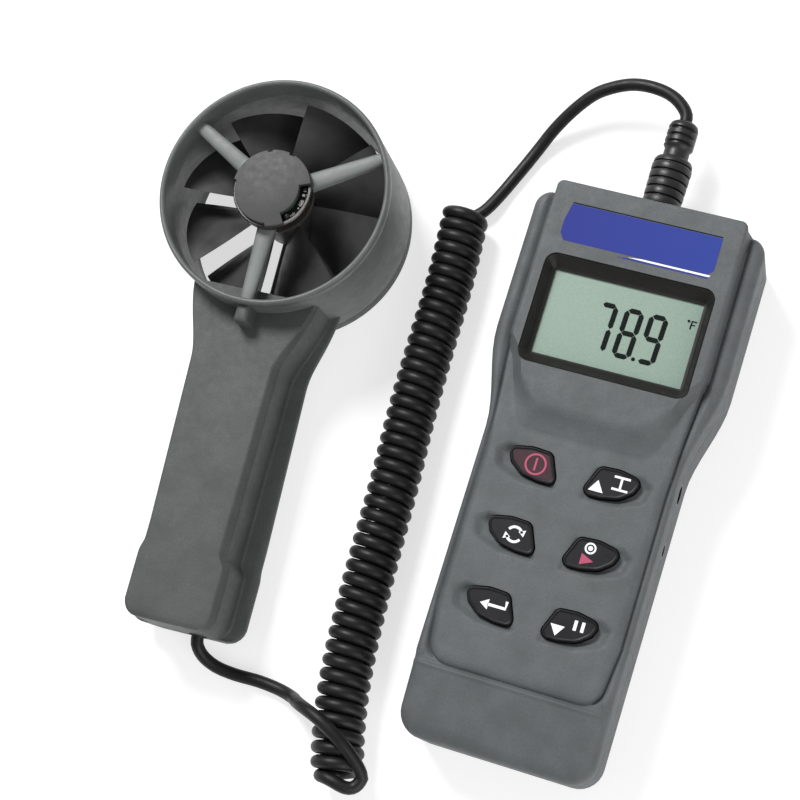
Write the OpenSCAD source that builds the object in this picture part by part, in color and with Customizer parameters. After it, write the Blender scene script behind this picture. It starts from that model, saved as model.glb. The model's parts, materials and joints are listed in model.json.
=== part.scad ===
// Handheld weather meter: a pocket instrument with a corded vane probe.
// Millimetres. The meter lies on its back: X is across it, +Y points to its
// head, where the probe plugs in, and +Z comes out of the keys and display.
// The origin is the middle of the meter's flat back. The probe lies on its back
// to the left of the meter, on the same surface, z = 0.

/* [Meter case] */
// Length of the meter
case_length = 178; // [170:1:190]
// Width across the head
head_width = 74; // [72:1:78]
// Width across the grip
grip_width = 62; // [60:1:64]
// Thickness at the display
case_depth = 34; // [33:0.5:36]
// Wall thickness of the case shells
case_wall = 2; // [1.6:0.1:2.4]

/* [Display] */
// Width of the visible liquid crystal
view_width = 47.6; // [44:0.2:50]
// Height of the visible liquid crystal
view_height = 27.3; // [24:0.1:29]

/* [Keys] */
// Distance between the two columns of keys
key_column_pitch = 22.8; // [22:0.1:24]
// Distance between the three rows of keys
key_row_pitch = 22.4; // [20:0.1:23]
// How far a key travels
key_travel = 0.8; // [0.5:0.1:1]

/* [Vane probe] */
// Outside diameter of the duct
duct_outer = 76; // [72:1:80]
// Depth of the duct, front rim to back rim
duct_depth = 40; // [38:1:44]
// Wall thickness of the duct
duct_wall = 2; // [1.6:0.1:2.4]
// Number of impeller blades
blade_count = 8; // [6:1:9]
// Pitch of the blades, out of the plane that they turn in
blade_pitch = 38; // [30:1:45]
// Turn of the probe on the table, against the meter
probe_turn = 3; // [0:0.5:5]

/* [Cord] */
// Diameter of the cord
cord_diameter = 3.7; // [3:0.1:4]
// Outside diameter of the curly part
coil_outer = 13.9; // [13:0.1:14]

/* [Hidden] */
$fn = 64;
eps = 0.01;
fine = 32;
gap = 0.3;

// Plan of the case: straight grip, curved waist, straight head
case_top = case_length / 2;
case_bottom = -case_length / 2;
head_half = head_width / 2;
grip_half = grip_width / 2;
waist_y = 8;
head_y = 40;
shoulder_top = case_top - 2.5;
case_corner = 6;
curve_steps = 8;

// Levels of the case
parting_z = 15;
ledge_z = 28.5;
keypad_z = 30.5;
toe_z = 26;
floor_t = 3;
edge_t = 1.2;
ramp_low_y = 12;
ramp_high_y = 29;
step_y = -66.5;

// Raised front panel, inside the ledges
panel_head_half = head_half - 6.5;
panel_grip_half = grip_half - 2.5;
panel_bottom = -64.5;

// Display
view_y = 47.2;
bezel_w = view_width + 5.4;
bezel_h = view_height + 5.7;
bezel_base_z = case_depth - 3.8;
window_t = 1.2;
window_z = bezel_base_z - window_t;
lcd_t = 1.4;
lcd_z = window_z - 0.2 - lcd_t;
segment_t = 0.1;
digit_h = 15;
digit_w = 4.6;
digit_stroke = 1.2;
digit_pitch = 8.2;
digit_x = -3.9;

// Boards and keys
board_t = 1.6;
board_z = 21.4;
board_top = board_z + board_t;
board_low_y = -62;
board_high_y = 72;
mat_t = 1.8;
flange_z = board_top + mat_t + key_travel + 0.8;
flange_t = 1.2;
key_top_z = keypad_z + 0.6;
key_first_y = -1.2;
key_x = key_column_pitch / 2;
scoop_depth = 1;
belt_steps = 6;
key_corners = [[5.9, -3, 1.3], [4.2, 2.9, 1.3], [-5, 1.7, 2], [-2, -1.9, 2.3]];
scoop_corners = [[2, -2.4, 3.2], [-3, 1.6, 3.2], [-8, 0.4, 3.2]];

// Battery bay
door_half = 19.7;
door_high_y = -34;
door_t = 2.6;
rail_z = 1.1;
rail_t = 1;
rail_out = 1.5;
battery_size = [26.5, 48.5, 17.5];
battery_y = -60;
battery_z = 3.7;

// Case screws, head up in deep holes from the back
screw_places = [[30, 78], [-30, 78], [25, -80], [-25, -80]];
screw_r = 1.2;
screw_head_r = 2.6;
screw_head_z = 7;
screw_head_t = 2;
screw_tip_z = 24;
post_r = 3.8;

// Sockets
plug_z = 17;
socket_r = 7.5;
socket_back_y = 74;
socket_bore_r = 4.8;
socket_nose_r = 6.1;
jack_x = 17.5;
jack_z = 15;
power_y = 5;
data_y = -13;
data_bore_r = 1.8;
data_bore_depth = 11;

// Vane probe, in its own frame: duct axis at its origin, handle towards -Y
probe_x = -117;
probe_y = 61.5;
duct_r = duct_outer / 2;
duct_bore_r = duct_r - duct_wall;
rear_seat_r = duct_bore_r + 0.5;
probe_parting_z = 5;
handle_end = -140.5;
slab_z = 12;
plateau_z = 30;
shell_t = 2.2;
hub_r = 12.9;
hub_top_z = 42.4;
cap_t = 1.6;
housing_z = 33;
arm_angles = [30, 150, 270];
arm_w = 4.8;
arm_z = 34.5;
arm_t = 3;
rear_arm_z = 6.5;
rear_arm_t = 3;
wheel_z = 20;
wheel_hub_r = 7;
wheel_hub_h = 17;
blade_r = duct_bore_r - 1.4;
blade_t = 1;
shaft_r = 0.75;
bearing_gap = 0.05;
gland_x = 5.5;
gland_z = 9;
gland_r = 3.1;
gland_l = 4.6;
gland_flange_t = 1.4;
probe_screw_places = [[0, -58], [0, -125], [11, -90], [-11, -90]];

// Plug on the cord's end
plug_y = case_top + 0.5;
barrel_r = 6.5;
barrel_l = 19.5;
boot_l = 13;

// Cord, as it lies: from the probe, over the curly part and back into its end
coil_r = coil_outer / 2;
tail_route = [
    [-104.2, -78, 9], [-103.8, -81, 8.4], [-101.5, -84, 6.2], [-97, -86, 3.6],
    [-90.5, -86.6, 2], [-82, -86.4, 1.9], [-74.5, -87, 2.6], [-69, -88.2, 5.4],
    [-64.5, -89.6, 10], [-60, -91.2, 14.2], [-55, -93.4, 16], [-50, -96.2, 16],
    [-45, -99.6, 14.6], [-40.5, -103.4, 12.4], [-38, -107.4, 11], [-38.6, -111, 11],
    [-41.6, -113.6, 11.6], [-45.5, -114.2, 12.1]
];
coil_route = [
    [-45.5, -112, 7], [-47, -106, 7], [-50.5, -95, 7], [-53.5, -80, 7], [-55.5, -62, 7],
    [-56.8, -40, 7], [-58, -13, 7], [-59.4, 8, 7], [-60.2, 31, 7], [-60.6, 52, 7],
    [-61.6, 68, 7], [-62.8, 81, 7]
];
lead_route = [
    [-60.5, 81.5, 2.4], [-57.5, 85, 2], [-54, 90.8, 1.9], [-50.4, 98.8, 1.9],
    [-47, 107, 2.6], [-43.2, 114.4, 5], [-38.2, 121.2, 8.2], [-32.6, 126.8, 11],
    [-27, 130, 13], [-21, 132, 14.6], [-15.5, 132.4, 15.6], [-10, 131.4, 16.3],
    [-5.6, 129.4, 16.8], [-2.2, 126.8, 17], [-0.4, 124.4, 17], [0, 122, 17]
];

// ---- curves ----

function smooth(t) = t < 0 ? 0 : t > 1 ? 1 : t * t * (3 - 2 * t);

// Half width of an outline that is head wide above the waist and grip wide below
function half_width(y, head, grip) =
    grip + (head - grip) * smooth((y - waist_y) / (head_y - waist_y));

// Right-hand side of such an outline, upwards
function side_line(head, grip, low, high) = concat(
    [[grip, low]],
    [for (i = [0 : curve_steps])
        let (y = waist_y + (head_y - waist_y) * i / curve_steps)
        [half_width(y, head, grip), y]],
    [[head, high]]
);

function mirrored(points) = [for (i = [len(points) - 1 : -1 : 0]) [-points[i][0], points[i][1]]];

function unit(v) = v / norm(v);

// Direction of a route at its point i
function heading(route, i) =
    unit(route[min(i + 1, len(route) - 1)] - route[max(i - 1, 0)]);

// One ring of a round tube: points around the route at its point i
function ring(route, i, r, sides) =
    let (t = heading(route, i), s = unit(cross(t, [0, 0, 1])), u = cross(s, t))
    [for (k = [0 : sides - 1])
        let (a = 360 * (k + 0.5) / sides)
        route[i] + r * (s * cos(a) + u * sin(a))];

module tube(route, r, sides) {
    n = len(route);
    points = [for (i = [0 : n - 1]) each ring(route, i, r, sides)];
    walls = [for (i = [0 : n - 2], k = [0 : sides - 1])
        let (k2 = (k + 1) % sides)
        [i * sides + k, (i + 1) * sides + k, (i + 1) * sides + k2, i * sides + k2]];
    start = [for (k = [0 : sides - 1]) k];
    end = [for (k = [sides - 1 : -1 : 0]) (n - 1) * sides + k];
    polyhedron(points, concat([start, end], walls));
}

// Outward direction of the belt line from circle a to circle b, each [x, y, r]
function belt_angle(a, b) =
    let (d = [b[0] - a[0], b[1] - a[1]])
    atan2(d[1], d[0]) - acos((a[2] - b[2]) / norm(d));

// Outline of a belt around circles listed counterclockwise, grown outwards
function belt(circles, grow) = [
    for (i = [0 : len(circles) - 1])
        let (
            c = circles[i],
            from = belt_angle(circles[(i + len(circles) - 1) % len(circles)], c),
            to = belt_angle(c, circles[(i + 1) % len(circles)]),
            turn = (to - from + 720) % 360
        )
        for (k = [0 : belt_steps])
            let (a = from + turn * k / belt_steps)
            [c[0] + (c[2] + grow) * cos(a), c[1] + (c[2] + grow) * sin(a)]
];

// ---- shared shapes ----

module rounded_plan(points, r) {
    offset(r = r, $fn = fine)
        offset(delta = -r)
            polygon(points);
}

module case_plan(inset) {
    right = side_line(head_half - inset, grip_half - inset, case_bottom + inset, shoulder_top - inset);
    rounded_plan(concat(right, mirrored(right)), max(case_corner - inset, 1));
}

module panel_plan(inset) {
    right = side_line(panel_head_half - inset, panel_grip_half - inset,
        panel_bottom + inset, case_top - inset);
    rounded_plan(concat(right, mirrored(right)), max(3 - inset, 0.8));
}

// Solid below the side profile of the front, lowered by drop
module below_profile(drop) {
    width = head_width + 10;
    profile = [
        [case_bottom - 1, 0], [case_bottom - 1, toe_z - drop], [step_y, ledge_z + 0.6 - drop],
        [step_y + 1, keypad_z - drop], [ramp_low_y, keypad_z - drop],
        [ramp_high_y, case_depth - drop], [case_top + 1, case_depth - drop], [case_top + 1, 0]
    ];
    rotate([90, 0, 90])
        translate([0, 0, -width / 2])
            linear_extrude(width)
                polygon(profile);
}

// Outline of a left-hand key: blunt towards the middle, a round tip outwards
module key_plan(grow) {
    polygon(belt(key_corners, grow));
}

// Outline of the hollow that leads in to a left-hand key from the side
module scoop_plan() {
    polygon(belt(scoop_corners, 0));
}

// Children at the place of key number i of a column; side is -1 left, 1 right
module at_key(side, row) {
    translate([side * key_x, key_first_y - row * key_row_pitch, 0])
        mirror([side > 0 ? 1 : 0, 0, 0])
            children();
}

module at_all_keys() {
    for (side = [-1, 1], row = [0 : 2])
        at_key(side, row)
            children();
}

module at_screws() {
    for (p = screw_places)
        translate([p[0], p[1], 0])
            children();
}

// Cylinder along +Y from y, or along +X from x
module y_rod(r, y, l) {
    translate([0, y, 0])
        rotate([-90, 0, 0])
            cylinder(r = r, h = l);
}

module x_rod(r, x, l) {
    translate([x, 0, 0])
        rotate([0, 90, 0])
            cylinder(r = r, h = l);
}

module centred_box(size, low_z) {
    translate([-size[0] / 2, -size[1] / 2, low_z])
        cube(size);
}

module at_probe() {
    translate([probe_x, probe_y, 0])
        rotate([0, 0, probe_turn])
            children();
}

// Holes that both case shells share: socket nose and the two jacks' noses
module case_ports() {
    translate([0, 0, plug_z])
        y_rod(socket_nose_r + 0.1, case_top - 6, 10);
    translate([0, power_y, jack_z])
        x_rod(4.1, grip_half - 5, 10);
    translate([0, data_y, jack_z])
        x_rod(3.1, grip_half - 5, 10);
}

// ---- meter ----

module front_case() {
    color("darkslategray")
        difference() {
            union() {
                difference() {
                    intersection() {
                        union() {
                            translate([0, 0, parting_z])
                                linear_extrude(ledge_z - parting_z)
                                    case_plan(0);
                            translate([0, 0, parting_z])
                                linear_extrude(case_depth)
                                    panel_plan(0);
                            translate([-grip_half + 1, case_bottom + 4, ledge_z - 1])
                                cube([grip_width - 2, step_y - case_bottom - 4, 5]);
                        }
                        below_profile(0);
                    }
                    intersection() {
                        union() {
                            translate([0, 0, parting_z - 1])
                                linear_extrude(ledge_z - case_wall - parting_z + 1)
                                    case_plan(case_wall);
                            translate([0, 0, parting_z - 1])
                                linear_extrude(case_depth)
                                    panel_plan(case_wall);
                        }
                        below_profile(case_wall);
                    }
                }
                at_screws()
                    translate([0, 0, parting_z])
                        cylinder(r = 3, h = ledge_z - case_wall - parting_z + eps);
            }
            translate([-bezel_w / 2, view_y - bezel_h / 2, bezel_base_z - 1])
                cube([bezel_w, bezel_h, 10]);
            at_all_keys() {
                translate([0, 0, flange_z])
                    linear_extrude(10)
                        key_plan(0.4);
                translate([0, 0, keypad_z - scoop_depth])
                    linear_extrude(10)
                        scoop_plan();
            }
            at_screws()
                translate([0, 0, parting_z - 1])
                    cylinder(r = screw_r + 0.05, h = screw_tip_z - parting_z + 1.5);
            case_ports();
            translate([-24.6, 68.5, case_depth - 0.4])
                cube([49.2, 13.4, 1]);
        }
}

module rear_case() {
    color("darkslategray")
        difference() {
            union() {
                difference() {
                    union() {
                        translate([0, 0, edge_t])
                            linear_extrude(parting_z - edge_t) {
                                case_plan(0);
                                panel_plan(0);
                            }
                        linear_extrude(edge_t) {
                            case_plan(edge_t);
                            panel_plan(edge_t);
                        }
                    }
                    translate([0, 0, floor_t])
                        linear_extrude(parting_z) {
                            case_plan(case_wall);
                            panel_plan(case_wall);
                        }
                }
                at_screws()
                    cylinder(r = post_r, h = parting_z);
            }
            translate([-door_half - gap, case_bottom - 1, -1])
                cube([2 * (door_half + gap), door_high_y + gap - case_bottom + 1, floor_t + 2]);
            translate([-door_half - rail_out - gap, case_bottom - 1, rail_z - 0.2])
                cube([2 * (door_half + rail_out + gap), door_high_y - case_bottom + 1, rail_t + 0.4]);
            at_screws() {
                translate([0, 0, -1])
                    cylinder(r = 3, h = screw_head_z + screw_head_t + 1);
                cylinder(r = 1.6, h = parting_z + 1);
            }
            case_ports();
        }
}

module battery_door() {
    low = case_bottom + 0.2;
    length = door_high_y - low;
    color("darkslategray")
        difference() {
            union() {
                translate([-door_half, low, 0])
                    cube([2 * door_half, length, door_t]);
                translate([-door_half - rail_out, low + 4, rail_z])
                    cube([2 * (door_half + rail_out), length - 5, rail_t]);
            }
            for (i = [0 : 4])
                translate([-8, low + 12 + 2.4 * i, -eps])
                    cube([16, 1.2, 0.6]);
        }
}

module name_plate() {
    color("royalblue")
        translate([-24.4, 68.7, case_depth - 0.4])
            linear_extrude(0.3)
                polygon([[0, 0], [48.2, 0], [48.8, 13], [0.6, 13]]);
}

module display_bezel() {
    top_w = view_width + 3.8;
    top_h = view_height + 4.1;
    color("#1c1a18")
        translate([0, view_y, 0])
            difference() {
                union() {
                    centred_box([bezel_w - 0.2, bezel_h - 0.2, case_depth - bezel_base_z - 0.1], bezel_base_z);
                    centred_box([bezel_w + 2.4, bezel_h + 2.4, 1.6], bezel_base_z);
                }
                hull() {
                    centred_box([view_width, view_height, 0.1], bezel_base_z - 0.05);
                    centred_box([top_w, top_h, 0.1], case_depth);
                }
            }
}

module display_window() {
    color("lightcyan", 0.4)
        translate([0, view_y, 0])
            centred_box([bezel_w, bezel_h, window_t], window_z);
}

module lcd_glass() {
    color("#a5b9a2")
        translate([0, view_y, 0])
            centred_box([bezel_w, bezel_h + 3, lcd_t], lcd_z);
}

// Segment bar: a flat hexagon of length l along X, centred
module segment_bar(l) {
    h = digit_stroke / 2;
    polygon([[-l / 2, 0], [-l / 2 + h, h], [l / 2 - h, h], [l / 2, 0], [l / 2 - h, -h], [-l / 2 + h, -h]]);
}

// Seven-segment digit; on lists the lit bars: top, three across, four upright
module digit(on) {
    half = digit_h / 2;
    across = [half, 0, -half];
    for (i = [0 : 2])
        if (on[i])
            translate([0, across[i]])
                segment_bar(digit_w - 0.3);
    for (i = [0 : 3])
        if (on[i + 3])
            translate([(i < 2 ? -1 : 1) * digit_w / 2, (i % 2 == 0 ? 1 : -1) * half / 2])
                rotate(90)
                    segment_bar(half - 0.3);
}

module lcd_segments() {
    seven = [true, false, false, false, false, true, true];
    eight = [true, true, true, true, true, true, true];
    nine = [true, true, true, true, false, true, true];
    color("#0c1c14")
        translate([digit_x, view_y - 0.4, lcd_z + lcd_t])
            linear_extrude(segment_t)
                multmatrix([[1, 0.04, 0, 0], [0, 1, 0, 0]]) {
                    digit(seven);
                    translate([digit_pitch, 0])
                        digit(eight);
                    translate([2 * digit_pitch, 0])
                        digit(nine);
                    translate([1.5 * digit_pitch, -digit_h / 2])
                        circle(0.7, $fn = 16);
                    translate([digit_x + 27.5, 6.2]) {
                        square([0.4, 2.5]);
                        translate([0, 2.1]) square([1.5, 0.4]);
                        translate([0, 1.1]) square([1.2, 0.4]);
                        translate([-0.8, 2.2])
                            difference() {
                                circle(0.45, $fn = 16);
                                circle(0.2, $fn = 16);
                            }
                    }
                }
}

module lcd_connectors() {
    color("dimgray")
        for (side = [-1, 1])
            translate([0, view_y + side * (bezel_h / 2 + 0.2), 0])
                centred_box([bezel_w - 3, 2, lcd_z - board_top], board_top);
}

module main_board() {
    color("darkgreen")
        translate([-26, board_low_y, board_z])
            cube([52, board_high_y - board_low_y, board_t]);
}

module controller_chip() {
    color("#202020")
        translate([-4, 30, board_z - 1.6])
            centred_box([14, 14, 1.6], 0);
}

module crystal() {
    color("silver")
        translate([11, 30, board_z - 3.4])
            centred_box([4.4, 10, 3.4], 0);
}

module buzzer() {
    color("#181818")
        translate([-14, 58, board_z - 6])
            cylinder(r = 6, h = 6);
}

module keypad_mat() {
    color("#202022")
        translate([-24, key_first_y - 2 * key_row_pitch - 9, board_top])
            cube([48, 2 * key_row_pitch + 18, mat_t]);
}

// A key cap with the flange that keeps it under the panel
module key(side, row) {
    color("#161618")
        at_key(side, row) {
            translate([0, 0, flange_z])
                linear_extrude(key_top_z - flange_z)
                    key_plan(0);
            translate([0, 0, flange_z])
                linear_extrude(flange_t)
                    key_plan(1);
        }
}

module key_power() { key(-1, 0); }
module key_mode() { key(-1, 1); }
module key_enter() { key(-1, 2); }
module key_max_min() { key(1, 0); }
module key_record() { key(1, 1); }
module key_hold() { key(1, 2); }

module probe_socket() {
    color("#202020")
        translate([0, 0, plug_z])
            difference() {
                union() {
                    y_rod(socket_r, socket_back_y, case_top - 3 - socket_back_y);
                    y_rod(socket_nose_r, case_top - 4, 4);
                }
                y_rod(socket_bore_r, case_top - 10, 12);
            }
}

module power_jack() {
    color("#151515")
        translate([0, power_y, jack_z])
            difference() {
                union() {
                    translate([jack_x, -4.5, -5])
                        cube([grip_half - case_wall - 0.2 - jack_x, 9, 11]);
                    x_rod(4, jack_x + 4, grip_half - jack_x - 4);
                }
                difference() {
                    x_rod(2.9, grip_half - 9, 10);
                    x_rod(0.95, grip_half - 10, 9);
                }
            }
}

module data_jack() {
    color("silver")
        translate([0, data_y, jack_z])
            difference() {
                union() {
                    translate([jack_x - 1, -3.5, -4.5])
                        cube([grip_half - case_wall - 0.2 - jack_x + 1, 7, 10.5]);
                    x_rod(3, jack_x, grip_half - jack_x);
                }
                x_rod(data_bore_r, grip_half - data_bore_depth, data_bore_depth + 1);
            }
}

module battery() {
    color("goldenrod")
        translate([0, battery_y, 0])
            centred_box(battery_size, battery_z);
}

module battery_snap() {
    color("#202020")
        translate([0, battery_y + battery_size[1] / 2 + 2.1, battery_z + 2])
            centred_box([24, 4, 13], 0);
}

module case_screws() {
    color("silver")
        at_screws() {
            translate([0, 0, screw_head_z])
                cylinder(r = screw_head_r, h = screw_head_t);
            translate([0, 0, screw_head_z])
                cylinder(r = screw_r, h = screw_tip_z - screw_head_z);
        }
}

// ---- vane probe ----

// Handle outline: flares into the duct at the neck, and a wider foot
module handle_plan(neck, grip, foot, end) {
    right = [[foot, end], [foot, -118], [grip, -112], [grip, -48], [neck, -28], [neck, -20]];
    rounded_plan(concat(right, mirrored(right)), 3);
}

module handle_solid(low_z, high_z, inset) {
    translate([0, 0, low_z])
        linear_extrude(high_z - low_z)
            offset(delta = -inset)
                handle_plan(24, 18, 19.3, handle_end);
}

module probe_front_shell() {
    color("darkslategray")
        at_probe()
            difference() {
                union() {
                    translate([0, 0, probe_parting_z])
                        cylinder(r = duct_r, h = duct_depth - probe_parting_z, $fn = 128);
                    difference() {
                        union() {
                            handle_solid(probe_parting_z, slab_z, 0);
                            translate([0, 0, slab_z - 1])
                                linear_extrude(plateau_z - slab_z + 1)
                                    handle_plan(20, 13.5, 16, handle_end + 0.8);
                        }
                        handle_solid(probe_parting_z - 1, slab_z - shell_t, shell_t);
                        translate([0, 0, slab_z - 4])
                            linear_extrude(plateau_z - shell_t - slab_z + 4)
                                offset(delta = -shell_t)
                                    handle_plan(20, 13.5, 16, handle_end + 0.8);
                    }
                    for (p = probe_screw_places)
                        translate([p[0], p[1], probe_parting_z])
                            cylinder(r = 2.8, h = plateau_z - 1 - probe_parting_z);
                }
                translate([0, 0, -1])
                    cylinder(r = duct_bore_r, h = duct_depth + 2, $fn = 128);
                translate([-arm_w / 2, -duct_r - 6, arm_z])
                    cube([arm_w, 10, arm_t]);
                spokes(duct_bore_r - 1, arm_z, arm_t);
                spokes(duct_bore_r - 1, rear_arm_z, rear_arm_t);
                translate([gland_x, 0, gland_z])
                    y_rod(gland_r + 0.05, handle_end - 1, 5);
                for (p = probe_screw_places)
                    translate([p[0], p[1], probe_parting_z - 1])
                        cylinder(r = screw_r + 0.05, h = 9);
            }
}

module probe_rear_shell() {
    color("darkslategray")
        at_probe()
            difference() {
                union() {
                    cylinder(r = duct_r, h = probe_parting_z, $fn = 128);
                    difference() {
                        handle_solid(0, probe_parting_z, 0);
                        handle_solid(shell_t, probe_parting_z + 1, shell_t);
                    }
                    for (p = probe_screw_places)
                        translate([p[0], p[1], 0])
                            cylinder(r = 4, h = probe_parting_z);
                }
                translate([0, 0, -1])
                    cylinder(r = rear_seat_r, h = probe_parting_z + 2, $fn = 128);
                for (p = probe_screw_places)
                    translate([p[0], p[1], -1]) {
                        cylinder(r = 2.7, h = 3.6);
                        cylinder(r = 1.5, h = probe_parting_z + 2);
                    }
            }
}

module probe_screws() {
    color("silver")
        at_probe()
            for (p = probe_screw_places)
                translate([p[0], p[1], 1]) {
                    cylinder(r = 2.4, h = 1.5);
                    cylinder(r = screw_r, h = 11);
                }
}

// Spokes between a hub and the duct wall, let into the wall a little
module spokes(inner_r, low_z, t) {
    for (a = arm_angles)
        rotate([0, 0, a])
            translate([inner_r, -arm_w / 2, low_z])
                cube([duct_bore_r + 0.6 - inner_r, arm_w, t]);
}

module front_spider() {
    color("#a5afac")
        at_probe()
            difference() {
                union() {
                    spokes(9, arm_z, arm_t);
                    translate([0, 0, arm_z])
                        cylinder(r = 10.4, h = arm_t);
                    translate([-arm_w / 2, -duct_r - 5.5, arm_z])
                        cube([arm_w, 8, arm_t]);
                    translate([-arm_w / 2, -duct_r - 5.5, plateau_z])
                        cube([arm_w, 5, arm_z - plateau_z + 1]);
                }
                translate([0, 0, arm_z - 1])
                    cylinder(r = 8, h = arm_t + 2);
            }
}

// Black cup in the hub: the spider's ring sits in it and the cap closes it
module sensor_housing() {
    color("#141312")
        at_probe()
            difference() {
                union() {
                    translate([0, 0, arm_z + arm_t])
                        cylinder(r = hub_r, h = hub_top_z - cap_t - arm_z - arm_t);
                    translate([0, 0, housing_z])
                        cylinder(r = 7.9, h = arm_t + 3);
                    translate([0, 0, housing_z])
                        cylinder(r = 9.5, h = arm_z - housing_z);
                }
                translate([0, 0, housing_z + 1.4])
                    cylinder(r = 6.8, h = arm_t + 4);
                translate([0, 0, arm_z + arm_t + 1])
                    cylinder(r = hub_r - 1.4, h = 5);
                translate([0, 0, housing_z - 1])
                    cylinder(r = 2, h = 5);
                rotate([0, 0, -70])
                    translate([hub_r - 3, -5, arm_z + arm_t + 1])
                        cube([5, 10, 5]);
            }
}

module hub_cap() {
    color("#6a6a68")
        at_probe()
            difference() {
                translate([0, 0, hub_top_z - cap_t])
                    cylinder(r = hub_r, h = cap_t);
                for (a = [-66, -54, -42, -30])
                    rotate([0, 0, a])
                        translate([hub_r - 3.4, -1.6, hub_top_z - cap_t - 1])
                            cube([5, 3.2, 4]);
                for (a = [62, 100, 165])
                    rotate([0, 0, a])
                        translate([hub_r - 0.7, -1.2, hub_top_z - cap_t - 1])
                            cube([2, 2.4, 4]);
            }
}

module sensor_board() {
    color("darkgreen")
        at_probe()
            translate([0, 0, arm_z + arm_t + 1])
                cylinder(r = 8.6, h = 1);
}

module temperature_sensor() {
    color("#1c1c20")
        at_probe()
            rotate([0, 0, -48])
                translate([10.2, 0, arm_z + arm_t + 1]) {
                    cylinder(r = 1.1, h = 1.4);
                    translate([0, 0, 1.4])
                        sphere(r = 1.1, $fn = fine);
                }
}

module bearing(low_z) {
    at_probe()
        translate([0, 0, low_z])
            difference() {
                cylinder(r = 2, h = 2.4);
                translate([0, 0, -1])
                    cylinder(r = shaft_r + bearing_gap, h = 5);
            }
}

module front_bearing() {
    color("goldenrod")
        bearing(housing_z - 1);
}

module rear_bearing() {
    color("goldenrod")
        bearing(rear_arm_z + 0.3);
}

module rear_spider() {
    color("#a5afac")
        at_probe()
            difference() {
                union() {
                    spokes(4, rear_arm_z, rear_arm_t);
                    translate([0, 0, rear_arm_z])
                        cylinder(r = 7, h = rear_arm_t);
                }
                translate([0, 0, rear_arm_z + 0.3])
                    cylinder(r = 2, h = rear_arm_t);
            }
}

module impeller() {
    color("#231d1a")
        at_probe()
            translate([0, 0, wheel_z])
                difference() {
                    union() {
                        translate([0, 0, -wheel_hub_h / 2])
                            cylinder(r = wheel_hub_r, h = wheel_hub_h);
                        intersection() {
                            for (i = [0 : blade_count - 1])
                                rotate([0, 0, 360 * i / blade_count])
                                    rotate([blade_pitch, 0, 0])
                                        translate([0, 0, -blade_t / 2])
                                            linear_extrude(blade_t)
                                                polygon([[5, -5.5], [38, -11], [38, 11], [5, 5.5]]);
                            translate([0, 0, -15])
                                cylinder(r = blade_r, h = 30, $fn = 128);
                        }
                    }
                    translate([0, 0, -15])
                        cylinder(r = shaft_r, h = 30);
                    translate([0, 0, wheel_hub_h / 2 - 2.5])
                        cylinder(r = 4, h = 5);
                }
}

module impeller_shaft() {
    color("silver")
        at_probe()
            translate([0, 0, rear_arm_z + 0.4])
                cylinder(r = shaft_r, h = housing_z + 1.3 - rear_arm_z - 0.4);
}

module pickup_magnet() {
    color("dimgray")
        at_probe()
            translate([0, 0, wheel_z + wheel_hub_h / 2 - 2.5])
                difference() {
                    cylinder(r = 3.9, h = 2);
                    translate([0, 0, -1])
                        cylinder(r = shaft_r, h = 4);
                }
}

// ---- cord and plug ----

module cord_gland() {
    color("#202020")
        at_probe()
            translate([gland_x, 0, gland_z])
                difference() {
                    union() {
                        y_rod(gland_r, handle_end, gland_l);
                        y_rod(gland_r + 1, handle_end + gland_l - gland_flange_t, gland_flange_t);
                    }
                    y_rod(cord_diameter / 2, handle_end - 1, gland_l + 2);
                }
}

module cord_tail() {
    color("#1c1b1d")
        tube(tail_route, cord_diameter / 2, 8);
}

module cord_coil() {
    color("#1c1b1d")
        tube(coil_route, coil_r, 16);
}

module cord_lead() {
    color("#1c1b1d")
        tube(lead_route, cord_diameter / 2, 8);
}

module plug_barrel() {
    color("#1a1a1c")
        translate([0, 0, plug_z])
            difference() {
                y_rod(barrel_r, plug_y, barrel_l);
                for (i = [1 : 5])
                    difference() {
                        y_rod(barrel_r + 1, plug_y + i * 3.1, 0.6);
                        y_rod(barrel_r - 0.4, plug_y + i * 3.1 - 1, 3);
                    }
            }
}

module plug_boot() {
    low = plug_y + barrel_l;
    color("#1a1a1c")
        translate([0, 0, plug_z])
            difference() {
                union() {
                    y_rod(4, low, 4);
                    y_rod(4.8, low + 3.5, boot_l - 3.5);
                }
                for (i = [0 : 2])
                    translate([-6, low + 4.6 + i * 2.4, 1.6])
                        cube([12, 1.1, 5]);
            }
}

module plug_shell() {
    color("silver")
        translate([0, 0, plug_z])
            difference() {
                y_rod(socket_bore_r - 0.06, case_top - 7, 7.5);
                y_rod(socket_bore_r - 0.5, case_top - 8, 7.5);
            }
}

module plug_pins() {
    color("gold")
        translate([0, 0, plug_z])
            for (a = [45 : 90 : 315])
                rotate([0, a, 0])
                    translate([2.6, 0, 0])
                        y_rod(0.5, case_top - 6, 5.5);
}

front_case();
rear_case();
name_plate();
display_bezel();
display_window();
lcd_glass();
lcd_segments();
lcd_connectors();
main_board();
controller_chip();
crystal();
buzzer();
keypad_mat();
probe_socket();
power_jack();
data_jack();
battery();
battery_snap();
battery_door();
case_screws();
key_power();
key_mode();
key_enter();
key_max_min();
key_record();
key_hold();
probe_front_shell();
probe_rear_shell();
front_spider();
sensor_housing();
hub_cap();
sensor_board();
temperature_sensor();
front_bearing();
rear_bearing();
rear_spider();
impeller();
impeller_shaft();
pickup_magnet();
probe_screws();
cord_gland();
cord_tail();
cord_coil();
cord_lead();
plug_barrel();
plug_boot();
plug_shell();
plug_pins();
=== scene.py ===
"""Looks of the handheld weather meter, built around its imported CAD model.

Sizes are in millimetres in the CAD frame, and mesh makers turn them into metres.
The meter lies on its back at the origin, and the vane probe to its left has a
frame of its own: u across the handle, v along it towards the duct, z up.
"""

import json
import math

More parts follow.
